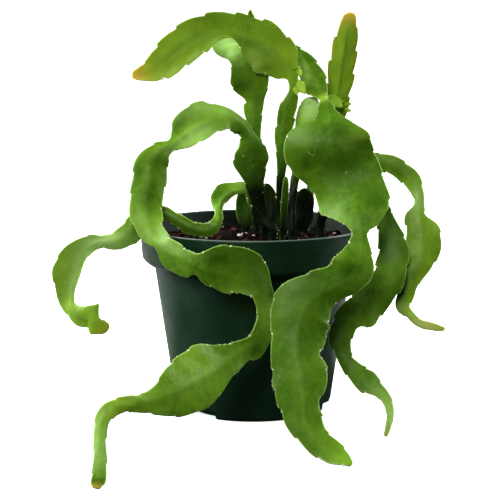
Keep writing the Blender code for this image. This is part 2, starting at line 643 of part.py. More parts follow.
def sampled(name):
    """Cross-sections along the stem, a third of an areole gap apart, and the stem's length."""
    rows = stem_rows(name)
    sides = [tuple(across_at(rows, i)) for i in range(len(rows))]
    full = [tuple(row[:5]) + (row[6],) + side for row, side in zip(rows, sides)]
    fine = []
    for i in range(len(full) - 1):
        for k in range(CURVE_STEPS):
            fine.append(between(full, i, k / CURVE_STEPS))
    fine.append(list(full[-1]))
    lengths = [0.0]
    for a, b in zip(fine, fine[1:]):
        lengths.append(lengths[-1] + (Vector(b[:3]) - Vector(a[:3])).length)
    step = AREOLE_GAP / STEPS_PER_AREOLE
    count = max(6, round(lengths[-1] / step))
    sections, k = [], 0
    for n in range(count + 1):
        along = lengths[-1] * n / count
        while k < len(lengths) - 2 and lengths[k + 1] < along:
            k += 1
        share = (along - lengths[k]) / max(lengths[k + 1] - lengths[k], 1e-9)
        row = [p + (q - p) * share for p, q in zip(fine[k], fine[k + 1])]
        sections.append((along, Vector(row[:3]), row[3], row[4], row[5], Vector(row[6:9])))
    return sections, lengths[-1]


def notch(along, side, half, deepest):
    """How far the margin steps in: deepest just past an areole, and nothing just before the next."""
    phase = (along / AREOLE_GAP + (0.5 if side > 0 else 0.0)) % 1.0
    return min(deepest, NOTCH_SHARE * half) * (1.0 - phase) ** 2


def blade(name, finish):
    """One flat stem. Both faces are cut into triangles alike, so that they never cross."""
    sections, length = sampled(name)
    front, back = [], []
    for n, (along, centre, left, right, bend, side) in enumerate(sections):
        before = sections[max(n - 1, 0)][1]
        after = sections[min(n + 1, len(sections) - 1)][1]
        ahead = (after - before).normalized()
        side = (side - ahead * side.dot(ahead)).normalized()
        face = ahead.cross(side)
        stalk = 1.0 - eased((along - STALK_LENGTH) / STALK_BLEND)
        tip = eased((length - along) / TIP_BLEND)
        rib = RIB_HALF * (0.55 + 0.45 * tip)
        for t in ACROSS:
            half = left if t < 0 else right
            half += MARGIN_ROUND * (1.0 - stalk)
            reach = half - (notch(along, t, half, NOTCHES[name]) if abs(t) == 1.0 and not stalk else 0.0)
            flat = {0.0: rib, 0.5: WING_HALF, 1.0: MARGIN_HALF}[abs(t)]
            rounded = min(half, STALK_HALF) * {0.0: 0.95, 0.5: 0.8, 1.0: 0.35}[abs(t)]
            thick = flat + (rounded - flat) * stalk if rounded > flat else flat
            middle = centre - side * (t * reach) + face * (bend * t * t)
            front.append(middle + face * thick)
            back.append(middle - face * thick)
    points = front + back
    lanes, rows, far = len(ACROSS), len(sections), len(front)
    faces = []
    for i in range(rows - 1):
        for j in range(lanes - 1):
            a, b = i * lanes + j, i * lanes + j + 1
            c, d = b + lanes, a + lanes
            faces += [(a, c, d), (a, b, c), (far + a, far + d, far + c), (far + a, far + c, far + b)]
        for j, order in ((0, 1), (lanes - 1, -1)):
            a, d = i * lanes + j, (i + 1) * lanes + j
            faces += [(a, d, far + d)[::order], (a, far + d, far + a)[::order]]
    for i, order in ((0, 1), (rows - 1, -1)):
        for j in range(lanes - 1):
            a, b = i * lanes + j, i * lanes + j + 1
            faces += [(a, far + a, far + b)[::order], (a, far + b, b)[::order]]
    stem = object_from(name, points, faces, finish)
    shade_round(stem, 50.0)
    return stem


def main():
    clear_scene()
    pot_green = material("pot_green", (0.035, 0.10, 0.065), 0.5)
    mix_brown = material("mix_brown", (0.10, 0.055, 0.035), 0.95)
    stem_green = material("stem_green", (0.13, 0.28, 0.035), 0.4)
    make_pot(pot_green)
    make_mix(mix_brown)
    for name in STEMS:
        blade(name, stem_green)


main()
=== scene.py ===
"""The looks of an orchid cactus with curling flat stems in a dark green nursery pot.

Metres, +Z up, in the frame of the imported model, whose solids the finer pieces here replace.
The stems' routes are the ones that the solids follow, cut finer, with rounded margins, areoles,
bristles and small new shoots. The pot has rounded moulded edges, and the mix has loose bark.
"""

import math
import random

import bmesh
import bpy
import numpy as np
from mathutils import Matrix, Vector, noise


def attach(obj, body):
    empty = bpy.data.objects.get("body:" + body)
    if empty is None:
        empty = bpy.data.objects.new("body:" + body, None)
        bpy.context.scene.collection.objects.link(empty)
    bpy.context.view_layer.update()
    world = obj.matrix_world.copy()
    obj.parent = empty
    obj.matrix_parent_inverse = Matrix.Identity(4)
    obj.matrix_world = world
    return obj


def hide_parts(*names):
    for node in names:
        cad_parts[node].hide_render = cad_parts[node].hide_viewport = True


MM = 0.001
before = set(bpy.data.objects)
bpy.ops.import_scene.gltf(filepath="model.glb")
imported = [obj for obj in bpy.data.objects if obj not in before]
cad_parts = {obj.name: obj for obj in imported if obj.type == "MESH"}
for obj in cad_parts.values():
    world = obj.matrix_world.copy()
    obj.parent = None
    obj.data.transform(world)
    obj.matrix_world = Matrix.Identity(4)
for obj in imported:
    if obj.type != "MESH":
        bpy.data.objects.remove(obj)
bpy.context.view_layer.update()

# Pot, in millimetres.
POT_HEIGHT = 127.0
BASE_RADIUS = 53.5
WALL_TOP_RADIUS = 68.0
BAND_RADIUS = 76.5
LIP_RADIUS = 78.2
WALL_TOP_HEIGHT = 98.8
BAND_FOOT_HEIGHT = 106.5
WALL = 1.6
FLOOR = 2.4
BASE_CHAMFER = 3.0
LIP_BEAD = 1.0
LIP_DEPTH = 3.0
BAND_HOLLOW = 1.2
EDGE_ROUND = 0.45
FOOT_RECESSES = 3
RECESS_TURN = math.radians(-43.0)
RECESS_HALF_ANGLE = math.radians(15.0)
RECESS_WALL_ANGLE = math.radians(2.2)
RECESS_HEIGHT = 6.0
RECESS_RADIUS = 44.0
DRAIN_HOLES = 6
DRAIN_HOLE_RADIUS = 4.0
DRAIN_HOLE_CIRCLE = 30.0

# How finely the pot is divided. The wall has rings at these heights, and at these depths under the top.
POT_SEGMENTS = 160
FOOT_STEPS = 6
WALL_RINGS = (30.0, 65.0, 90.0)
LIP_RINGS = (3.4, 2.6)
SHOULDER_STEPS = 10
LIP_STEPS = 8
HOLE_SIDES = 40

# Potting mix, in millimetres.
CLEARANCE = 0.3
MIX_GAP = 0.55
OVER_RECESS = 1.0
MIX_EDGE_HEIGHT = 114.0
MIX_CROWN = 3.0
MIX_LUMP = 0.9
CRUMB_HEIGHT = 1.5
CRUMB_SCALE = 0.16
MIX_RINGS = 56
MIX_SEGMENTS = 150
MIX_SHOULDER_STEPS = 6
BLOCK_POINTS = 16
FIBRE_STEPS = 4

# Stems, in millimetres, and shares of their own measures.
STALK_FOOT = 94.0
STALK_BEND = 118.0
STALK_HEAD = 125.0
STALK_HALF = 3.0
STALK_DEPTH = 0.95
STALK_SQUEEZE = 0.87
RIB_HALF = 1.35
RIB_WIDTH = 3.0
WING_HALF = 0.9
MARGIN_HALF = 0.55
MARGIN_ROUND = 0.3
AREOLE_GAP = 16.5
NOTCH_SHARE = 0.2
STALK_LENGTH = 28.0
STALK_BLEND = 16.0
TIP_BLEND = 30.0
TIP_ROUND = 1.5
TIP_RIB = 0.55
TIP_SHARE = 0.02
LEAST_HALF = 0.5
TOWARDS_FRONT = Vector((0.0, -1.0, 0.0))

# Waves of a blade's wings and the quilting between its veins.
LONG_WAVE = 9.7
SHORT_WAVE = 5.3
WAVE_HEIGHT = 1.0
WAVE_SHARE = 0.07
VEIN_SLANT = 0.75
QUILT_HEIGHT = 0.13
QUILT_LEAST = 0.3

# How finely a blade is divided: along it, down to its tip, across a wing, and round its margin.
CURVE_STEPS = 20
STEP = 1.1
LEAST_SECTIONS = 12
TIP_STEPS = np.array([0.9, 0.75, 0.5, 0.3, 0.14, 0.04, 0.0])
LANES = np.array([0.0, 0.035, 0.08, 0.14, 0.22, 0.32, 0.43, 0.55, 0.67, 0.79, 0.9, 1.0])
RIM = 0.9
RIM_SHARE = 0.35
RIM_LANES = np.array([0.62, 0.32, 0.1, 0.0])

# Areoles with their bristles, small specks of wool, shoots and scars.
AREOLE_FROM_TIP = 4.0
PAD_SINK = 0.25
PAD_SIZES = (0.6, 1.0)
BRISTLE_LENGTHS = (1.2, 2.6)
BRISTLE_RADIUS = 0.085
SPECK_GAP = 6.0
SPECK_START = STALK_LENGTH + STALK_BLEND + 25.0
SPECK_FROM_TIP = 3.0
SPECK_SIZES = (0.22, 0.45)
LEAF_FOOT = 0.45
LEAF_SHARE = 0.22
LEAF_HALF = 0.12
LEAF_BEND = 0.8
SCAR_RADIUS = 0.3
SCAR_OVERLAP = 0.4
SCAR_SIDES = 6

# Studio, in metres, and the camera, with the photograph's own measures in pixels. A light has a
# name, a place, a size, a power, a target, and whether glossy skins show it.
FLOOR_HALF_WIDTH = 7.0
FLOOR_FRONT = -6.0
SWEEP_START = 1.6
SWEEP = 1.4
SWEEP_STEPS = 12
BACKDROP_HEIGHT = 5.0
PLANT = (0.0, 0.0, 0.14)
LIGHTS = (
    ("light_above", (0.0, 0.1, 1.5), (1.2, 1.0), 9.0, PLANT, False),
    ("light_left", (-1.2, 0.25, 0.9), (0.8, 0.9), 30.0, PLANT, True),
    ("light_left_low", (-1.15, -0.2, 0.2), (0.5, 0.4), 4.5, PLANT, True),
    ("light_right", (1.25, 0.35, 0.7), (0.7, 0.9), 22.0, PLANT, True),
    ("light_front", (-0.35, -1.4, 1.0), (0.7, 0.7), 17.5, PLANT, True),
    ("light_floor", (0.0, 0.7, 0.01), (2.4, 1.3), 6.5, (0.0, 0.7, 1.0), True),
    ("light_backdrop", (0.0, 2.1, 1.6), (3.0, 1.5), 30.0, PLANT, False),
)
CAMERA_PLACE = (0.0, -1.150, 0.291)
CAMERA_TILT = math.radians(81.0)
SENSOR = 36.0
FOCAL_PIXELS = 1682.0
PHOTO_PIXELS = 500.0
SHIFT_PIXELS = -3.0

# Each stem's route from its stalk to its tip. A row holds the midrib's x, y and z, the width of the
# blade on the left and on the right of the way it grows, seen from the front, how many degrees the
# left margin is turned towards the front, and how far both margins bend to the front of the midrib.
# A row that ends after the widths has no turn and no bend.
STEMS = {
    "stem_left_long": (
        (5.5, -8, 134, 5, 5), (2, -8, 150, 5.2, 5.2), (0, -8, 162, 8.6, 8.6, 0, -1.5),
        (-1.4, -8, 172, 12.4, 12.4, 0, -3), (-1.4, -9, 181, 8.8, 9.8, 5, -3),
        (-3.4, -9, 189, 5.5, 6, 20, -3), (-6.8, -10, 196, 7.5, 6.2, 35, -3),
        (-15.5, -14, 202, 8.5, 8.4, 35, -2), (-25, -20, 200, 8.5, 17.5, 35, 0),
        (-36, -25, 196.5, 12, 17.5, 35, 1), (-46, -28, 190, 11, 14, 35, 1),
        (-54, -30, 185, 5.5, 4.2, 30, 0), (-62, -32, 181, 9, 7, 15, -1), (-67.4, -35, 173, 11.3, 11, 0, -3),
        (-68.8, -40, 161, 11.2, 11.8, 0, -3.5), (-71, -45, 149, 11, 11, 0, -3),
        (-70.8, -50, 140, 11.3, 10.6, 0, -2), (-67.5, -56, 130.5, 9.5, 8.5, 10, -1),
        (-61, -64, 123, 8.7, 5.4, 15, -1), (-55, -69, 119, 8.4, 12.6, 15, -1.5),
        (-40.7, -80, 114, 6.5, 11.7, 15, -1.5), (-35, -83, 111.8, 9.5, 7, 15, 0),
        (-29, -86, 110, 15.2, 10.5, 15, 1), (-16, -89, 107.5, 20.8, 12.8, 15, 2),
        (-3.8, -91, 103, 19.2, 8.8, 5, 2), (3.2, -91, 96, 9.8, 6, -10, 1),
        (5.4, -90, 86.5, 11.5, 4.6, -45, 0), (4.5, -90, 76, 14, 4.6, -50, 0),
        (0.6, -92, 66.4, 18, 4.8, -45, 0), (-6.4, -98, 60.5, 10, 6.2, -15, 0),
        (-17.8, -109, 54, 11.2, 12.8, 0, -1), (-25.2, -116.5, 50.8, 15.8, 18.8, 0, -1.5),
        (-33, -124, 47.5, 19.6, 20, 0, -2), (-48, -140, 43, 17, 15.5, 0, -2),
        (-62.8, -152, 40.4, 9, 5.8, 0, -1), (-75.4, -162, 40.4, 5.2, 5.2, 0, -0.5),
        (-85.5, -170, 38.8, 5.4, 5.4, 0, -0.5), (-90.4, -176, 31.8, 4.4, 4.4, 0, -0.5),
        (-90.7, -184, 21, 3.8, 3.8, 0, -0.5), (-90, -194, 10.5, 4.4, 4.4, 0, -0.3),
        (-90.4, -204, 4.4, 4.3, 4.3), (-90.8, -211, 2.6, 2, 2),
    ),
    "stem_left_outer": (
        (2, 24, 133, 3.2, 3.2), (0, 24, 141, 4.5, 4.5, 20, 0), (-4.6, 21, 148.8, 3.6, 5.4, 30, -0.5),
        (-10.8, 17, 148.8, 3.2, 7, 35, -1.2), (-16.3, 12, 147.2, 3.2, 10.6, 35, -1.6),
        (-20.8, 7, 144, 3.2, 9.6, 30, -1.4), (-23.1, 2, 140, 2.8, 5.6, 20, -0.8),
        (-24.1, -3, 135.5, 3.2, 2.4, 10, 0), (-24.7, -8, 130.6, 4.4, 3.2), (-28, -13, 126.6, 5.2, 4.4),
        (-35.6, -19.5, 126.2, 5.6, 4.2), (-43.4, -26, 129.6, 5.4, 4.2), (-51.8, -31, 135.4, 4.8, 3.8),
        (-60, -34, 140, 4, 4), (-69, -36, 139.5, 5.5, 5.5), (-76.2, -37, 134, 7, 7, 0, -0.5),
        (-83, -36, 126, 8.2, 7.4, 0, -1), (-91.3, -34, 120.7, 6.6, 6.4, 0, -1),
        (-101, -32, 119.4, 4.6, 4.6), (-109, -32, 116.3, 3.8, 9, 0, 1), (-115, -34, 108, 2.6, 14.5, 0, 2),
        (-118.6, -38, 96.5, 2.2, 16.8, 0, 2), (-121.5, -44, 84.6, 1.9, 10.4, 0, 1),
        (-120.5, -50, 78.4, 3.4, 6), (-115, -56, 74, 6.6, 7.2), (-108, -59, 72.6, 9.2, 6.4),
        (-106, -60, 71.9, 11.5, 8), (-103, -61, 70.6, 3.2, 9.8), (-98, -62, 67.6, 4, 6),
        (-94.8, -62, 66.2, 2.2, 2.2),
    ),
    "stem_crown_arch": (
        (18.8, 8, 142.7, 2.8, 2.8), (19.1, 8, 156.7, 2.8, 2.8), (20, 8, 170.6, 3.6, 3.6),
        (20, 8, 184.5, 5.2, 5.2, 0, -0.5), (21.4, 8, 198.3, 5.2, 7.4, 0, -0.5),
        (23.2, 8, 207.8, 4.6, 7.4, 0, -0.5), (27, 8, 217.4, 2.6, 4.4), (27, 8, 225, 3, 3.6),
        (26.1, 8, 230, 10, 5.5), (21, 6, 239.4, 16.5, 11.5, 0, 1), (14.3, 4, 246.2, 19.5, 14, 0, 1),
        (6.1, 1, 251.1, 18, 16), (-3.4, -3, 254.6, 12.5, 15), (-14.3, -7, 256.7, 1.8, 15.6, 0, 0.5),
        (-25.6, -11, 256.2, 4.5, 16, 0, 2), (-35.6, -14, 253, 9, 16.6, 0, 2.5),
        (-45.6, -17, 247, 9.5, 16.2, 0, 2.5), (-55.8, -20, 240, 10, 14, 0, 2),
        (-65.2, -22, 233.3, 7.6, 10.4, 0, 1.5), (-73.3, -24, 230.8, 3.8, 7.4, 0, 1),
        (-80.8, -25, 230.5, 2.4, 2.4),
    ),
    "stem_broad_front": (
        (6.3, 12, 132, 3, 3), (4.9, 12, 153, 3, 3), (2.8, 12, 170, 4, 4), (1.4, 12, 184, 5, 4.6),
        (0.7, 12, 194.5, 5, 5), (0.4, 12, 205, 6.9, 6.9, 0, -0.5), (0.9, 12, 212, 7, 7, 0, -0.5),
        (-0.7, 10, 220, 11.4, 12.6, 0, -1), (-4.1, 7, 228.4, 12.9, 14.5, 0, -1), (-8.9, 4, 237, 7, 8.6),
        (-13, 4, 243.7, 6.4, 7.4), (-17, 10, 249, 11, 8.5), (-14, 22, 253, 9, 9, -40, 0),
        (-5, 32, 254.5, 9, 9, -75, 0), (8, 38, 252, 9, 9, -75, 0), (23.9, 34, 245.6, 6.5, 9, -40, 0),
        (35.7, 24, 237.6, 6.5, 9, 0, -0.5), (42.4, 12, 227, 7.6, 9.4, 0, -0.5), (45.5, 2, 219.7, 6, 9),
        (47.9, -6, 213.6, 2.4, 2.6), (48.9, -15, 210.2, 4.4, 5.4), (50.2, -27, 204.2, 8.2, 9, 0, -0.5),
        (50.5, -36, 199.8, 17, 22, 0, -1), (50.9, -42, 194.3, 24.5, 29.5, 0, -2.5),
        (51.4, -45, 187.9, 26.5, 31.5, 0, -4), (52.6, -45, 181, 26.5, 31.5, 0, -5),
        (54.8, -43.5, 174, 26.5, 28.6, 0, -4.5), (57.6, -43, 166.7, 27, 22.4, 0, -4),
        (61.3, -45, 159.5, 25.8, 22.2, 0, -4), (64.5, -50, 152.8, 24.2, 22.8, 0, -4),
        (66.9, -56, 147, 23.4, 18, 0, -3.5), (68.6, -61, 141, 20, 12.6, 0, -2),
        (69.9, -64, 135.5, 13, 8.6, 0, -1), (70.4, -67, 130, 4.6, 6), (70.6, -72, 121.6, 5.8, 11),
        (68.5, -78, 112, 11, 15.6, 0, -1), (62.5, -83, 104.4, 11.6, 16.2, 0, -1.5),
        (53, -88, 99.4, 10, 13.8, 0, -2), (41.6, -92, 94.2, 16, 16.2, 0, -3),
        (32.5, -96, 85.3, 19.8, 21, 0, -4), (28, -101, 70, 19, 16.5, 0, -4),
        (27.3, -107, 58.4, 15.6, 16.2, 0, -4), (29.7, -114, 48.3, 17.6, 18.4, 0, -4),
        (30.8, -120, 40, 15, 17.9, 0, -3.5), (31.3, -126, 32.6, 10.4, 16, 0, -3),
        (31.7, -133, 24, 11.8, 12.4, -5, -2), (36.4, -140, 15.2, 9.5, 9, -15, -1.5),
        (42.5, -146, 9, 10, 7.4, -25, -1), (49.6, -153, 5.4, 9, 6.2, -40, -0.5),
        (55, -159, 3.8, 6, 3.4, -50, 0), (59.8, -163, 2.7, 1.8, 1.6, -60, 0),
    ),
    "stem_right_upright": (
        (37.5, 36, 136, 3, 3), (46, 36, 160.5, 4, 4), (54, 32, 186, 6, 6), (58.6, 28, 202, 6, 8, 10, -0.5),
        (59.3, 26, 213, 8.2, 8.2, 0, -0.5), (60.6, 24, 225, 9.5, 9.5, 0, -1),
        (62.3, 22, 239, 9.4, 9.4, 0, -1), (64.3, 20, 252.5, 8.4, 8.4, 0, -0.8),
        (65.8, 19, 262, 6.2, 6.2, 0, -0.5), (66.5, 18.6, 267.5, 4.8, 4.8), (66.9, 18.4, 271.6, 3, 3),
    ),
    "stem_centre_short": (
        (26.6, -2, 139, 2.8, 2.8), (28.4, 1, 154, 2.8, 2.8), (30.6, 3, 169, 3.5, 3.5),
        (33, 3, 183, 5, 5, -10, 0), (34.8, 3, 195.4, 6.5, 7.5, -20, 0), (36.5, 4, 204, 6.5, 9.5, -25, -0.5),
        (38.3, 6, 210.8, 5.5, 7.5, -25, 0), (38.4, 7, 214.2, 2.5, 3.5, -25, 0),
    ),
    "stem_right_outer": (
        (50, 14, 137, 3.4, 3.4), (58, 12, 154, 5, 5), (69, 8, 166.5, 6.5, 6.5), (81, 3, 171, 5, 6),
        (91.8, 0, 169.5, 6.2, 6.9, 0, -0.5), (101, -2, 165, 6.4, 6.4, 0, -0.5),
        (108, -4, 158.8, 6.5, 6.5, 0, -0.5), (112.8, -6, 150, 4.4, 4.4), (113.6, -8, 142, 3.6, 3.6),
        (113.4, -10, 134, 5.5, 9.7), (115, -13, 125, 12.3, 10.5, 0, -1), (116, -16, 114, 12.8, 12, 0, -1.5),
        (114.5, -19, 103.5, 9.2, 11, 0, -1.5), (109.8, -22, 93, 5.3, 9, 0, -1),
        (104.5, -24, 82.2, 5.5, 6.5), (102.5, -26, 74.4, 4.5, 5.5), (106.4, -29, 69, 3, 3, -20, 0),
        (112, -32, 64.3, 2.8, 2.8, -20, 0), (120.5, -36, 62.2, 2.7, 2.7, -10, 0),
        (129.5, -38, 61, 1.4, 1.4),
    ),
    "stem_right_inner": (
        (49, 0, 135, 3.4, 3.4), (60, -4, 147, 5, 5), (73, -8, 152, 6.5, 6.5), (84, -13, 145, 5, 6.5),
        (90, -15, 137, 4.5, 6.8), (93.4, -18, 128, 5.6, 9.5, 0, -0.5), (95, -22, 116.5, 10.4, 10, 0, -1.5),
        (94.7, -26, 104.7, 11, 11.3, 0, -1.5), (90.2, -32, 94, 12.6, 10.5, 0, -1), (81, -38, 85, 14, 9),
        (71, -45, 77, 16, 10), (62.5, -50, 68, 8.5, 9.5), (58.5, -54, 56.3, 7.5, 8.4),
        (59.5, -58, 46.2, 6.6, 4), (66.5, -63, 37.3, 7, 5.8), (75, -71, 32.3, 8.4, 8),
        (82.6, -80, 29, 4.4, 5), (87.6, -90, 23.5, 2.8, 3.6), (88.4, -98, 18, 2.2, 2.6),
        (86.6, -106, 12, 1.9, 1.9), (84, -112, 6.5, 1.1, 1.1),
    ),
    "stem_back_left": (
        (-4.6, 34, 121.8, 5, 5), (-4.8, 34.4, 128, 7, 6.2), (-5, 35, 135, 7.2, 6.2, 0, -0.5),
        (-5, 36, 141.5, 6, 6), (-3.5, 36, 147, 2.4, 2.4),
    ),
    "stem_back_middle": (
        (13.2, 30.4, 122.8, 4.6, 4.8), (12.6, 31, 130, 5.6, 5.8), (11.6, 32, 138, 6, 6.4, 0, -0.5),
        (9.8, 33, 146, 4.8, 5), (8.4, 33, 151.5, 1.8, 1.8),
    ),
    "stem_back_right": (
        (31.8, 22, 122.6, 5.4, 6.8), (33.2, 22, 128.5, 6.8, 8.8, 0, -0.5), (35, 22, 136, 8, 8, 0, -1),
        (36, 22, 144, 6.5, 6.5, 0, -0.5), (36, 21, 149.5, 2, 2),
    ),
    "stem_young_shoot": (
        (20.8, -11, 133, 2, 2), (21.6, -9, 144, 2.4, 2.4), (22.4, -8, 155, 2, 2), (22.2, -8, 161, 1, 1),
    ),
}

# Where each stalk stands in the mix, x and y, and how deep the stem's notches are.
STALKS = {
    "stem_left_long": (13, -9, 1.2), "stem_left_outer": (2, 25, 1), "stem_crown_arch": (21, 8, 1.9),
    "stem_broad_front": (8, 12, 1.2), "stem_right_upright": (36, 35, 1.9),
    "stem_centre_short": (27, -3, 0.8), "stem_right_outer": (46, 14, 1.4),
    "stem_right_inner": (47, 3, 1.7), "stem_back_left": (-5, 34, 0.6), "stem_back_middle": (14, 30, 0.6),
    "stem_back_right": (31, 22, 0.6), "stem_young_shoot": (20, -14, 0.3),
}

# How each stem is coloured as a whole. Pairs give a row of the route and an amount, for the painted
# shade and for the yellow, which is partly the stem's own and partly painted light. The tip's colour
# fades over a length, in millimetres, which is this one unless the stem has its own.
TIP_LENGTH = 6.0
PLAIN = ((0, 0.0), (1, 0.0))
LOOKS = {
    "stem_left_long": {
        "yellow": ((0, 0), (12, 0.12), (20, 0.05), (33, 0.1), (41, 0.15)),
        "tip": 0.1,
        "painted_shade": (
            (0, 0.7), (4, 0.6), (7, 0.15), (12, 0.2), (14, 0.4), (18, 0.2), (21, 0.7), (24, 0.5),
            (25, 0.2), (27, 0.2), (28, 0.5), (31, 0),
        ),
    },
    "stem_left_outer": {
        "tip": 0.25,
        "yellow": ((0, 0.05), (16, 0.1), (20, 0.35), (29, 0.3)),
        "painted_shade": ((0, 0), (19, 0), (21, 0.3), (25, 0.25), (29, 0.1)),
    },
    "stem_crown_arch": {
        "tip": 0.95,
        "tip_length": 9,
        "yellow": ((0, 0), (6, 0.2), (8, 0.55), (10, 0.5), (12, 0.25), (16, 0.5), (20, 0.85)),
        "painted_shade": ((0, 0.6), (5, 0.3), (8, 0)),
    },
    "stem_centre_short": {"tip": 0},
    "stem_right_upright": {
        "tip": 0.9,
        "tip_length": 7,
        "rust": 0.5,
        "yellow": ((0, 0.1), (4, 0.5), (9, 0.65)),
        "painted_shade": ((0, 0.14), (9, 0.14)),
    },
    "stem_broad_front": {
        "tip": 0,
        "yellow": ((0, 0), (10, 0.1), (19, 0.15), (21, 0), (44, 0.05), (50, 0.2)),
        "painted_shade": (
            (0, 0.4), (7, 0.2), (10, 0), (14, 0.3), (15, 0.95), (18, 0.85), (19, 0.2), (20, 0.7),
            (22, 0.7), (24, 0.4), (30, 0.35), (38, 0.5), (42, 0.7), (47, 0.65), (50, 0.3),
        ),
    },
    "stem_right_outer": {"tip": 0.4, "tip_length": 20, "yellow": ((0, 0.1), (9, 0.3), (19, 0.3))},
    "stem_right_inner": {
        "tip": 0.1,
        "yellow": ((0, 0), (20, 0.1)),
        "painted_shade": ((4, 0.2), (9, 0.4), (15, 0.5), (17, 0.1)),
    },
    "stem_back_left": {"tip": 0},
    "stem_back_middle": {"tip": 0},
    "stem_back_right": {"tip": 0},
    "stem_young_shoot": {"tip": 0, "painted_shade": ((0, 1.3), (2, 1), (3, 0.3))},
}
